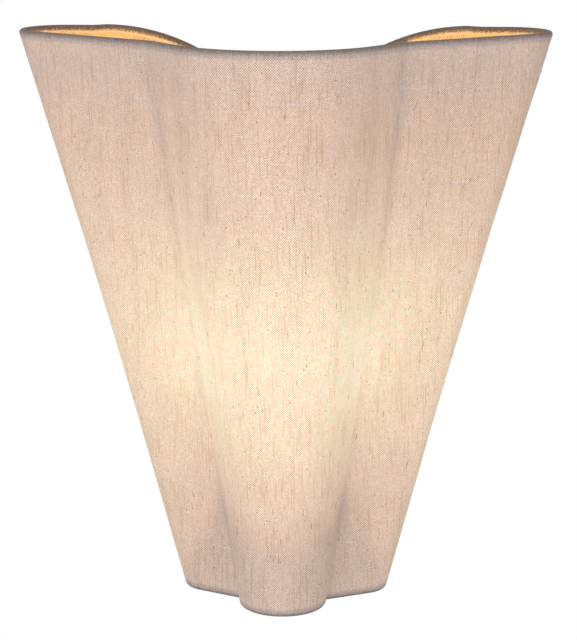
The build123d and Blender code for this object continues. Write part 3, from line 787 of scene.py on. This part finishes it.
# the noise values between which a mark comes up
yarnMarks = {
    "slub": (0.56, 0.70),
    "grain": (0.48, 0.76),
    "weftSlub": (0.69, 0.77),
    "chance": (0.90, 1.0),
    "knot": (0.965, 1.0),
}
# strength of the dark dots between the threads and tone of the threads, with a painted highlight on the
# raised thread tops (hump): first for the cloth's own colour, then for the light through it
yarnShade = {
    "dots": {"always": 0.15, "byChance": 1.5, "inStreaks": 2.2, "overSlub": 0.18, "most": 0.96},
    "threads": {"base": 1.13, "hump": 0.10, "humpByChance": 0.24, "cloud": 0.30},
}
yarnLight = {
    "dots": {"always": 0.15, "byChance": 1.1, "inStreaks": 1.5, "overSlub": 0.12, "most": 1.0},
    "threads": {"base": 1.08, "hump": 0.08, "humpByChance": 0.0, "cloud": 0.32},
    "blocked": {"fleck": 0.3, "knot": 0.8, "pale": 0.3},
}
# what comes through the cloth, by how much lamp light falls on its inside
throughGlow = [
    (0.0, (0.0, 0.0, 0.0)),
    (0.05, (0.060, 0.029, 0.010)),
    (0.12, (0.106, 0.070, 0.030)),
    (0.25, (0.178, 0.138, 0.075)),
    (0.38, (0.245, 0.208, 0.120)),
    (0.50, (0.300, 0.265, 0.155)),
    (0.62, (0.348, 0.322, 0.200)),
    (0.74, (0.386, 0.374, 0.250)),
    (0.87, (0.412, 0.412, 0.305)),
    (1.0, (0.430, 0.440, 0.355)),
]
insideGlow = [
    (0.00, (0.58, 0.35, 0.13)),
    (0.10, (0.72, 0.47, 0.20)),
    (0.30, (0.86, 0.64, 0.33)),
    (0.60, (0.94, 0.76, 0.46)),
    (1.00, (1.00, 0.86, 0.58)),
]


def weave(tree):
    # thread pattern of the cloth, from its UV map in metres: values by name
    across, along, _ = tree.split(tree.add("ShaderNodeUVMap", {"uv_map": "cloth"})["UV"])
    sideways, lengthways = (
        tree.noise(tree.join(across * wide, along * high, layer), 1.0) - 0.5
        for wide, high, layer in weaving["wanderNoise"]
    )
    warp = (across + sideways * weaving["warpWander"]) / weaving["pitch"]
    weft = (along + lengthways * weaving["weftWander"]) / weaving["pitch"]
    column, row = warp.whole(), weft.whole()
    crossing = (warp * pi).sine() * (weft * pi).sine()
    threads = {"dots": crossing.atLeast(0.0), "humps": (0 - crossing).atLeast(0.0)}
    threads["chance"] = tree.whiteNoise("2D", tree.join(column, row, 0.0))
    # a dark knot here and there covers a few threads
    knotWide, knotHigh = weaving["knotThreads"]
    knotColumn, knotRow = warp / knotWide, weft / knotHigh
    knot = tree.whiteNoise("3D", tree.join(knotColumn.whole(), knotRow.whole(), 5.0))
    shape = ((knotColumn * pi).sine() * (knotRow * pi).sine()).size()
    threads["knot"] = knot * shape.step(*weaving["knotEdge"])
    # single threads differ in thickness and tone over a few centimetres of their length; the odd
    # steps from thread to thread keep neighbours apart in the noise
    slubSpot = tree.join(column * 0.83 + 0.3, weft * weaving["slubStretch"], 0.0)
    grainSpot = tree.join(column * 0.71 + 0.2, weft * weaving["grainStretch"], 7.0)
    weftSpot = tree.join(warp * weaving["weftSlubStretch"], row * 0.67 + 0.4, 3.0)
    cloudWide, cloudHigh = weaving["cloudStretch"]
    cloudSpot = tree.join(warp * cloudWide, weft * cloudHigh, 9.0)
    threads["slub"] = tree.noise(slubSpot, 1.0, 2.0, 0.6)
    threads["grain"] = tree.noise(grainSpot, 1.0, 1.0)
    threads["weftSlub"] = tree.noise(weftSpot, 1.0, 1.0)
    threads["cloud"] = tree.noise(cloudSpot, 1.0, 3.0, 0.6)
    return threads


def linenTone(tree, threads):
    # the colour of the threads without light, its tone, and the lamp's light that they let through
    dots, chance, humps, cloud = (threads[name] for name in ("dots", "chance", "humps", "cloud"))
    slub, grain, pale, fleck, knot = (threads[name].step(*limits) for name, limits in yarnMarks.items())
    fleck = fleck * dots
    streaks = slub * linen["streakSlub"] + grain * linen["streakGrain"]
    paleOver = pale * (linen["paleShare"] - dots * linen["paleDots"]).atLeast(0.0)

    def dotStrength(amounts):
        strength = chance * amounts["byChance"] + amounts["always"] + streaks * amounts["inStreaks"]
        return (dots * strength + slub * amounts["overSlub"]).atMost(amounts["most"])

    def threadTone(amounts):
        # raised thread tops (humps) get a lighter tone, a painted highlight
        uneven = amounts["hump"] + chance * amounts["humpByChance"]
        return amounts["base"] + humps * uneven + (cloud - 0.5) * amounts["cloud"]

    colour = tree.mixColour(dotStrength(yarnShade["dots"]), linen["colour"], linen["slubColour"])
    colour = tree.mixColour(fleck, colour, linen["fleckColour"])
    colour = tree.mixColour(paleOver, colour, linen["paleThread"])
    colour = tree.mixColour(knot * linen["knotShare"], colour, linen["knotColour"])
    passing = threadTone(yarnLight["threads"])
    for name, mark in (("fleck", fleck), ("knot", knot), ("pale", pale)):
        passing = passing * (1 - mark * yarnLight["blocked"][name])
    dotTint = tree.mixColour(dotStrength(yarnLight["dots"]), (1.0, 1.0, 1.0), linen["dotLight"])
    return colour, threadTone(yarnShade["threads"]), tree.scaled(dotTint, passing)


def linenBump(tree, threads):
    height = sum(threads[name] * share for name, share in linenRelief.items())
    return tree.bump(height, 0.6, 0.25 * mm)


def linenFace():
    # the side of the cloth that is outside on the wall, and inside the shade on the folded hem
    tree = materialTree("linenFace")
    threads = weave(tree)
    colour, tone, sieve = linenTone(tree, threads)
    fold, crease, edge, glow = (tree.attribute(name) for name in ("fold", "crease", "edge", "glow"))
    rag = (threads["chance"] - 0.5) * linen["hemRag"]
    drift = (threads["cloud"] - 0.5) * linen["hemDrift"]
    # 1 on the double cloth of the hem, on the rim's top (painted shade), on the wire in the crease (its
    # painted shadow) and beside it
    doubled = 1 - (edge + (drift + rag)).step(*(hem["depth"] + offset for offset in linen["hemEdge"]))
    paintedRimShade = 1 - (edge + rag).step(*linen["rimRange"])
    wireShadow = 1 - (crease / linen["wireHalfWidth"]).step(0.0, 1.0)
    flank = 1 - (crease / linen["flankReach"]).step(0.0, 1.0)
    # painted shade: the hem's double cloth is tinted greyer, as no lamp light comes through it
    colour = tree.tinted(colour, linen["hemTint"], doubled)
    # painted shade on the cloth's tone: the crease wire's shadow and the darker top of the rim
    tone = tone * (1 - wireShadow * linen["creaseShade"]) * (1 - paintedRimShade * (1 - linen["rimShade"]))
    passed = glow * (1 - doubled * linen["hemBlock"]) - flank * linen["flankShadow"]
    through = tree.scaled(tree.tinted(tree.ramp(passed, throughGlow), sieve), 1 - fold.step(0.0, 0.25))
    # the roll of the hem gets no lamp light through it and, inside the shade, a painted shade colour on top;
    # its upright leg catches the lamp thread by thread
    uneven = (threads["humps"] - threads["dots"] + threads["chance"] - 0.5) * linen["legRag"]
    leg = (fold + uneven).step(*linen["legRange"])
    lit = tree.scaled(tree.tinted(tree.ramp(glow, insideGlow), sieve), leg * linen["legGlow"])
    inside = fold.step(0.45, 0.8)
    inner = tree.mixColour(leg, linen["hemInsideColour"], linen["insideColour"])
    return tree.finish({
        "Base Color": tree.mixColour(inside, tree.scaled(colour, tone), inner),
        "Roughness": 0.88,
        "Sheen Weight": 0.1,
        "Sheen Roughness": 0.5,
        "Specular IOR Level": 0.25,
        "Emission Color": tree.mixColour(inside, through, lit),
        "Emission Strength": 1.0,
        "Normal": linenBump(tree, threads),
    })


def linenBack():
    # the side of the cloth that is inside the shade on the wall
    tree = materialTree("linenBack")
    threads = weave(tree)
    colour, tone, sieve = linenTone(tree, threads)
    wall = 1 - tree.attribute("fold").step(0.0, 0.3)
    lit = tree.tinted(tree.ramp(tree.attribute("glow"), insideGlow), sieve)
    return tree.finish({
        "Base Color": tree.scaled(tree.tinted(colour, linen["insideColour"]), tone),
        "Roughness": 0.9,
        "Specular IOR Level": 0.2,
        "Emission Color": tree.scaled(lit, wall * linen["wallGlow"]),
        "Emission Strength": 1.0,
        "Normal": linenBump(tree, threads),
    })


# the shade cloth
def makeShadeCloth():
    points, faces, fold, edgeIn, width, loop = clothChart()
    host = newMesh("clothChart", points, faces)
    wallCount = (wallRows + 1) * width
    edge = np.array(edgeIn)
    heights = np.array([p[2] for p in points[:wallCount]])
    edge[:wallCount] = np.minimum(heights - shade["Bottom"], shadeTop - heights)
    place = pieceCount - np.abs(np.array([p[0] for p in points]))
    creasePlace = list(pieceColumns).index("crease") + 0.5
    freeOfCrease = np.clip((np.abs(place - creasePlace) - 0.5) / tension["creaseFade"], 0, 1)
    freeOfEdge = np.clip((edge - hem["wireInset"]) / tension["edgeFade"], 0, 1)
    storeValues(host, "slack", freeOfEdge * freeOfCrease)
    storeValues(host, "edge", edge)
    storeValues(host, "fold", fold)
    tree, result = wrapTree()
    cloth = applyTree(tree, result, host, "shade_cloth", shade, linenFace())
    mesh = cloth.data
    spots = np.zeros(len(mesh.vertices) * 3)
    mesh.vertices.foreach_get("co", spots)
    spots = spots.reshape(-1, 3)
    net = spots[:wallCount].reshape(wallRows + 1, width, 3)
    light = clothLight(net)
    run = outlineRun(net)
    # the wall behind the side lobes sends more light into them
    low, high = lampGlow["lobeRange"]
    lobePart = np.clip((np.abs(run) / np.abs(run[:, [0]]) - low) / (high - low), 0, 1)
    light = light * lampGlow["gain"] * (1 + lampGlow["lobeReturn"] * lobePart)
    glow = np.clip(light - lampGlow["loss"], 0, 1)
    print("glow: peak", round(float(glow.max()), 3), "share at full", round(float((glow > 0.999).mean()), 3))
    ring = np.array([entry[3] for entry in loop])
    rounds = (len(points) - wallCount) // len(ring)

    def overHem(values):
        # each rolled hem point takes the value of the wall point that it starts from
        flat = values.reshape(-1)
        return np.concatenate([flat] + [flat[ring]] * rounds)

    storeValues(mesh, "glow", overHem(glow))
    creaseColumn = sum(list(pieceColumns.values())[:3]) + pieceColumns["crease"] // 2
    toCreases = [np.abs(run - run[:, [column]]) for column in (creaseColumn, width - 1 - creaseColumn)]
    storeValues(mesh, "crease", overHem(np.minimum(*toCreases)))
    writeClothMap(mesh, spots, net, run, loop)
    smoothFaces(mesh)
    mesh.materials.append(linenBack())
    solid = cloth.modifiers.new("thickness", "SOLIDIFY")
    solid.thickness = hem["thickness"]
    solid.offset = 0.0
    solid.material_offset = 1
    solid.material_offset_rim = 0
    return cloth, net, glow, spots, loop


def writeClothMap(mesh, spots, net, run, loop):
    # UV in metres: the distance round the outline from the middle, and the height on the cloth
    rise = np.linalg.norm(np.diff(net, axis=0), axis=-1)
    climb = np.concatenate([np.zeros((1, net.shape[1])), np.cumsum(rise, axis=0)], axis=0)
    climb -= climb[[net.shape[0] // 2]]
    wall = np.stack([run, climb], axis=-1).reshape(-1, 2)
    ring = np.array([entry[3] for entry in loop])
    ways = {"bottom": (0, -1), "top": (0, 1)}
    direction = np.array([ways.get(kind, (-side, 0)) for kind, side, _, _ in loop])
    maps = [wall]
    previous = spots[:len(wall)][ring]
    length = np.zeros(len(ring))
    for start in range(len(wall), len(spots), len(ring)):
        here = spots[start:start + len(ring)]
        length = length + np.linalg.norm(here - previous, axis=-1)
        previous = here
        maps.append(wall[ring] + direction * length[:, None])
    places = np.concatenate(maps)
    corners = np.zeros(len(mesh.loops), np.int32)
    mesh.loops.foreach_get("vertex_index", corners)
    layer = mesh.uv_layers.new(name="cloth")
    layer.data.foreach_set("uv", places[corners].astype(np.float32).ravel())


shadeCloth, clothNet, clothGlow, clothSpots, clothLoop = makeShadeCloth()
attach(shadeCloth, "shade")
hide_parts("shade_fabric")
print("shade cloth made:", len(shadeCloth.data.polygons), "faces")


# loose yarn: thick slubs that stand out of the cloth, and the frayed inner edge of the hem
slubYarn = {
    "count": 190,
    "length": (1.2 * mm, 7.0 * mm),
    "points": 7,
    "lean": 0.12,
    "sunk": 0.12 * mm,  # how deep its ends lie in the cloth's face
    "arch": 0.14 * mm,
    "clearRows": 4,  # rows and columns of the net that stay free at the edges
    "clearColumns": 30,
    "shape": {"Thickness": 0.24 * mm, "Waver": 0.10 * mm, "Sides": 5, "Seed": 11},
    "colours": [(0.44, 0.30, 0.20), (0.48, 0.30, 0.14), (0.34, 0.24, 0.17)],
}
frayedYarn = {
    "count": 900,
    "length": (0.8 * mm, 2.6 * mm),
    "root": 0.4 * mm,  # the part of it that is in the hem
    "shares": (0.35, 0.7, 1.0),
    "curl": 0.35,
    # painted lamp glow, the same on every frayed thread
    "warmth": 0.6,
    "shape": {"Thickness": 0.11 * mm, "Waver": 0.50 * mm, "Sides": 4, "Seed": 23},
    "colours": [(0.46, 0.33, 0.19), (0.34, 0.23, 0.13), (0.55, 0.43, 0.28)],
}
yarnFatness = (0.7, 1.25)  # thinnest and thickest, as a share of the thickness


def yarnTree(sizes):
    # every strand of the host becomes a round thread that is thickest in its middle
    tree, inputs = geometryTree("threadsAlongStrands", sizes)
    blur = tree.add("ShaderNodeTexNoise", None, {"Vector": seededSpot(tree, inputs), "Scale": 330.0})
    waver = tree.vectorMath("SUBTRACT", blur["Color"], (0.5, 0.5, 0.5))
    offset = tree.scaled(waver, inputs["Waver"])
    wavy = tree.add("GeometryNodeSetPosition", None, {"Geometry": inputs["Geometry"], "Offset": offset})
    strands = tree.add("GeometryNodeMeshToCurve", None, {"Mesh": wavy["Geometry"]})["Curve"]
    along = tree.add("GeometryNodeSplineParameter")["Factor"]
    ring = tree.add("GeometryNodeCurvePrimitiveCircle", None, {"Resolution": inputs["Sides"], "Radius": 1.0})
    tubes = tree.add("GeometryNodeCurveToMesh", None, {
        "Curve": strands,
        "Profile Curve": ring["Curve"],
        "Scale": ((along * pi).sine() * 0.8 + 0.2) * inputs["Thickness"] * tree.attribute("fat"),
        "Fill Caps": True,
    })
    return tree, tubes["Mesh"]


def yarnMaterial(name, colours):
    # spun thread: its tone changes from thread to thread and along each one, and it glows with painted lamp
    # light
    tree = materialTree(name)
    spot = tree.spot()
    tone = tree.attribute("tone")
    colour = tree.mixColour(tone.step(0.3, 0.5), colours[0], colours[1])
    colour = tree.mixColour(tone.step(0.65, 0.85), colour, colours[2])
    fibres = tree.noise(spot, 1900.0, 3.0, 0.6)
    return tree.finish({
        "Base Color": tree.scaled(colour, fibres * 0.5 + 0.75),
        "Roughness": 0.9,
        "Specular IOR Level": 0.2,
        "Emission Color": tree.scaled(colour, tree.attribute("warmth") * 0.6),
        "Emission Strength": 1.0,
        "Normal": tree.grain(spot, 2400.0, 0.5),
    })


def makeYarn(name, look, strands, warmth):
    # strands: one list of points for each thread
    chance = np.random.default_rng(look["shape"]["Seed"] + 1)
    points, edges = [], []
    stored = {"fat": [], "tone": [], "warmth": []}
    for strand, glow in zip(strands, warmth):
        first = len(points)
        points += strand
        edges += [(first + n, first + n + 1) for n in range(len(strand) - 1)]
        stored["fat"] += [chance.uniform(*yarnFatness)] * len(strand)
        stored["tone"] += [chance.uniform(0, 1)] * len(strand)
        stored["warmth"] += [glow] * len(strand)
    host = newMesh(name + "Strands", points, edges=edges)
    for label, values in stored.items():
        storeValues(host, label, values)
    tree, result = yarnTree(look["shape"])
    yarn = applyTree(tree, result, host, name, look["shape"], yarnMaterial(name, look["colours"]))
    smoothFaces(yarn.data)
    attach(yarn, "shade")
    print(name, "made:", len(yarn.data.polygons), "faces")


def slubStrands(net, glow):
    # short stretches of single warp threads, lying on the outside
    chance = np.random.default_rng(slubYarn["shape"]["Seed"])
    normals = outwardNormals(net)
    rows, columns = net.shape[:2]
    pitch = shade["Height"] / (rows - 1)
    run = outlineRun(net)[rows // 2]
    reach = run[-1 - slubYarn["clearColumns"]]
    clear = slubYarn["clearRows"]
    strands, warmth = [], []
    for _ in range(slubYarn["count"]):
        column = np.interp(chance.uniform(-reach, reach), run, np.arange(columns))
        length = mixed(*slubYarn["length"], chance.uniform(0, 1) ** 2)
        start = chance.uniform(clear, rows - 1 - clear - length / pitch)
        lean = chance.normal() * slubYarn["lean"]
        strand = []
        for share in np.linspace(0, 1, slubYarn["points"]):
            row = start + share * length / pitch
            place = column + lean * share
            r, c = int(row), int(place)
            left, right = (mixed(net[r, n], net[r + 1, n], row - r) for n in (c, c + 1))
            rise = hem["thickness"] / 2 - slubYarn["sunk"] + slubYarn["arch"] * sin(pi * share)
            strand.append(mixed(left, right, place - c) + normals[r, c] * rise)
        strands.append(strand)
        # each slub glows with the painted lamp light of the cloth under it
        warmth.append(float(glow[int(start), int(column)]))
    return strands, warmth


def frayedStrands(spots, loop):
    # cut thread ends that hang below the hem's leg, inside the shade at the top
    chance = np.random.default_rng(frayedYarn["shape"]["Seed"])
    count = len(loop)
    edge = spots[-count:]
    above = spots[-2 * count:-count]
    tops = [n for n in range(count) if loop[n][0] == "top"]
    strands = []
    for _ in range(frayedYarn["count"]):
        pick = tops[int(chance.uniform(1, len(tops) - 2))]
        share = chance.uniform(0, 1)
        low, high = (mixed(line[pick], line[pick + 1], share) for line in (edge, above))
        way = (low - high) / np.linalg.norm(low - high)
        side = edge[pick + 1] - edge[pick]
        side = side / np.linalg.norm(side)
        length = chance.uniform(*frayedYarn["length"])
        curl = chance.normal() * frayedYarn["curl"] * length
        strand = [low - way * frayedYarn["root"]]
        strand += [low + way * length * part + side * curl * part**2 for part in frayedYarn["shares"]]
        strands.append(strand)
    return strands, [frayedYarn["warmth"]] * len(strands)


makeYarn("slub_yarn", slubYarn, *slubStrands(clothNet, clothGlow))
makeYarn("frayed_yarn", frayedYarn, *frayedStrands(clothSpots, clothLoop))


# finishes of the fittings, by material slot: first those with worn, mottled or tarnished patches
patchyFinishes = {
    "frame_wire": {
        "colour": (0.78, 0.75, 0.70),
        "patch": (0.42, 0.38, 0.34),
        "patchShare": 0.7,
        "noise": (240.0, 3.0, 0.6),
        "range": (0.70, 0.74),
        "metallic": 0.0,
        "roughness": 0.42,
        "patchRoughness": 0.2,
        "grain": (900.0, 0.35),
    },
    "canopy_paint": {
        "colour": (0.82, 0.80, 0.76),
        "patch": (0.74, 0.71, 0.66),
        "patchShare": 0.6,
        "noise": (55.0, 3.0, 0.5),
        "range": (0.35, 0.70),
        "metallic": 0.0,
        "roughness": 0.48,
        "patchRoughness": 0.08,
        "grain": (1400.0, 0.30),
    },
    "brass": {
        "colour": (0.80, 0.60, 0.28),
        "patch": (0.46, 0.30, 0.12),
        "patchShare": 0.6,
        "noise": (320.0, 4.0, 0.6),
        "range": (0.42, 0.72),
        "metallic": 1.0,
        "roughness": 0.26,
        "patchRoughness": 0.25,
        "grain": (1100.0, 0.2),
    },
}
mouldings = {
    "holder_plastic": {"colour": (0.84, 0.83, 0.80), "grain": 2600.0, "roughness": 0.55},
    "white_moulding": {"colour": (0.86, 0.85, 0.81), "grain": 1800.0, "roughness": 0.62},
    "bulb_plastic": {"colour": (0.90, 0.89, 0.86), "grain": 900.0, "roughness": 0.30},
    "lamp_plate": {"colour": (0.93, 0.91, 0.86), "grain": 2200.0, "roughness": 0.70},
    "black_glass": {"colour": (0.03, 0.03, 0.035), "grain": 700.0, "roughness": 0.12},
    "grommet": {"colour": (0.045, 0.045, 0.047), "grain": 3200.0, "roughness": 0.78},
    "brown_lead": {"colour": (0.23, 0.11, 0.055), "grain": 1500.0, "roughness": 0.36},
    "blue_lead": {"colour": (0.06, 0.20, 0.55), "grain": 1500.0, "roughness": 0.36},
}
mouldedUneven = {"driftScale": 70.0, "drift": 0.14, "speckle": 0.06, "gloss": 0.12, "bump": 0.25}
zincPlate = {
    "colour": (0.62, 0.63, 0.64),
    "spangle": (0.50, 0.51, 0.53),
    "spangleScale": 420.0,
    "spangleShare": 0.8,
    "roughness": 0.34,
    "spangleGloss": 0.14,
    "grain": (700.0, 0.15),
}
nickelPlate = {
    "colour": (0.76, 0.73, 0.69),
    "dull": (0.60, 0.57, 0.53),
    "dullShare": 0.7,
    "dullNoise": (260.0, 3.0),
    "dullRange": (0.45, 0.75),
    "turning": 9000.0,
    "turningBump": (0.25, 0.03 * mm),
    "roughness": 0.22,
    "turningRoughness": 0.12,
    "dullRoughness": 0.1,
}
earthLead = {
    "green": (0.10, 0.42, 0.12),
    "yellow": (0.85, 0.72, 0.08),
    "stripeEdge": (0.25 * mm, 0.35 * mm),
    "stripeWander": 0.2 * mm,
    "roughness": 0.36,
    "grain": (1500.0, 0.2),
}
opalGlass = {
    "colour": (0.26, 0.25, 0.22),
    "lit": (0.82, 0.72, 0.52),
    "deep": (0.60, 0.40, 0.20),
    "footHeight": 0.35,
    "footShare": 0.55,
    "edgeShare": 0.45,
    "cloudShare": 0.06,
    "roughness": 0.35,
    "grain": (800.0, 0.05),
}


def patchy(name):
    look = patchyFinishes[name]
    tree = materialTree(name)
    spot = tree.spot()
    patch = tree.noise(spot, *look["noise"]).step(*look["range"])
    return tree.finish({
        "Base Color": tree.mixColour(patch * look["patchShare"], look["colour"], look["patch"]),
        "Metallic": look["metallic"],
        "Roughness": look["roughness"] + patch * look["patchRoughness"],
        "Normal": tree.grain(spot, *look["grain"]),
    })


def moulded(name):
    # moulded, rubber and glass pieces share a fine grain of their own scale and a slight drift in tone
    look, uneven = mouldings[name], mouldedUneven
    tree = materialTree(name)
    spot = tree.spot()
    drift = tree.noise(spot, uneven["driftScale"]) - 0.5
    speckle = tree.noise(spot, look["grain"]) - 0.5
    tone = 1 + drift * uneven["drift"] + speckle * uneven["speckle"]
    return tree.finish({
        "Base Color": tree.scaled(look["colour"], tone),
        "Roughness": look["roughness"] + speckle * uneven["gloss"],
        "Normal": tree.grain(spot, look["grain"], uneven["bump"]),
    })


def spangled():
    # zinc plate: small crystals that differ a little in tone and gloss
    tree = materialTree("zinc_steel")
    spot = tree.spot()
    cells = tree.add("ShaderNodeTexVoronoi", None, {"Vector": spot, "Scale": zincPlate["spangleScale"]})
    tone, gloss, _ = tree.split(cells["Color"])
    tone = tone * zincPlate["spangleShare"]
    return tree.finish({
        "Base Color": tree.mixColour(tone, zincPlate["colour"], zincPlate["spangle"]),
        "Metallic": 1.0,
        "Roughness": zincPlate["roughness"] + gloss * zincPlate["spangleGloss"],
        "Normal": tree.grain(spot, *zincPlate["grain"]),
    })


def turnedNickel():
    # plated sheet with fine turning marks round the lamp's axis
    look = nickelPlate
    tree = materialTree("nickel")
    spot = tree.spot()
    _, _, height = tree.split(spot)
    marks = tree.noise(tree.join(0.0, 0.0, height * look["turning"]), 1.0, 1.0)
    dull = tree.noise(spot, *look["dullNoise"]).step(*look["dullRange"])
    roughness = look["roughness"] + marks * look["turningRoughness"] + dull * look["dullRoughness"]
    return tree.finish({
        "Base Color": tree.mixColour(dull * look["dullShare"], look["colour"], look["dull"]),
        "Metallic": 1.0,
        "Roughness": roughness,
        "Normal": tree.bump(marks, *look["turningBump"]),
    })


def stripedLead():
    # green lead with a yellow stripe along its right side
    tree = materialTree("green_lead")
    spot = tree.spot()
    side, _, _ = tree.split(spot)
    wander = (tree.noise(spot, 500.0) - 0.5) * earthLead["stripeWander"]
    stripe = (side + wander).step(*earthLead["stripeEdge"])
    return tree.finish({
        "Base Color": tree.mixColour(stripe, earthLead["green"], earthLead["yellow"]),
        "Roughness": earthLead["roughness"],
        "Normal": tree.grain(spot, *earthLead["grain"]),
    })


def litOpal():
    # lit opal envelope: evenly bright, a little deeper in colour towards its foot and its edges
    look = opalGlass
    tree = materialTree("opal")
    low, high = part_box("bulb_envelope")
    spot = tree.spot()
    _, _, height = tree.split(spot)
    foot = 1 - ((height - low.z) / (high.z - low.z)).step(0.0, look["footHeight"])
    facing = tree.add("ShaderNodeLayerWeight", None, {"Blend": 0.35})["Facing"]
    cloudy = tree.noise(spot, 120.0)
    deeper = foot * look["footShare"] + facing * look["edgeShare"] + cloudy * look["cloudShare"]
    return tree.finish({
        "Base Color": look["colour"],
        "Roughness": look["roughness"],
        "Emission Color": tree.mixColour(deeper.atMost(1.0), look["lit"], look["deep"]),
        "Emission Strength": 1.0,
        "Normal": tree.grain(spot, *look["grain"]),
    })


def dressFittings():
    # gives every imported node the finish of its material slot; the linen's node is replaced instead
    finishes = {
        "zinc_steel": spangled(),
        "nickel": turnedNickel(),
        "green_lead": stripedLead(),
        "opal": litOpal(),
    }
    finishes.update({name: patchy(name) for name in patchyFinishes})
    finishes.update({name: moulded(name) for name in mouldings})
    for part in frame["record"]["subparts"]:
        if part["material_slot"] in finishes:
            mesh = frame["nodes"][part["node"]].data
            mesh.materials.clear()
            mesh.materials.append(finishes[part["material_slot"]])
    print("fittings finished:", len(finishes), "finishes")
    return finishes


# grip ribs round the lampholder's ring
gripRibs = {
    "Count": 40,
    "Rib sides": 10,
    "Rib radius": 0.8 * mm,
    "Rib height": 3.4 * mm,
    "Proud": 0.30 * mm,
}


def makeGripRibs(finish):
    low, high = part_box("holder_ring")
    middle = {"Middle " + axis: value for axis, value in zip("XYZ", (low + high) / 2)}
    sizes = {**gripRibs, **middle, "Ring radius": (high.x - low.x) / 2}
    tree, inputs = geometryTree("ribsRoundRing", sizes)
    radius = inputs["Ring radius"] + inputs["Proud"] - inputs["Rib radius"]
    places = tree.add("GeometryNodeMeshCircle", None, {"Vertices": inputs["Count"], "Radius": radius})
    rib = tree.add("GeometryNodeMeshCylinder", None, {
        "Vertices": inputs["Rib sides"],
        "Radius": inputs["Rib radius"],
        "Depth": inputs["Rib height"],
    })
    onPlaces = {"Points": places["Mesh"], "Instance": rib["Mesh"]}
    stood = tree.add("GeometryNodeInstanceOnPoints", None, onPlaces)
    away = tree.join(*(inputs[label] for label in middle))
    moved = tree.add("GeometryNodeTransform", None, {"Geometry": stood["Instances"], "Translation": away})
    ribs = applyTree(tree, moved["Geometry"], newMesh("ribHost", [(0, 0, 0)]), "grip_ribs", sizes, finish)
    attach(ribs, "fixture")
    print("grip ribs made:", len(ribs.data.polygons), "faces")


makeGripRibs(dressFittings()["holder_plastic"])
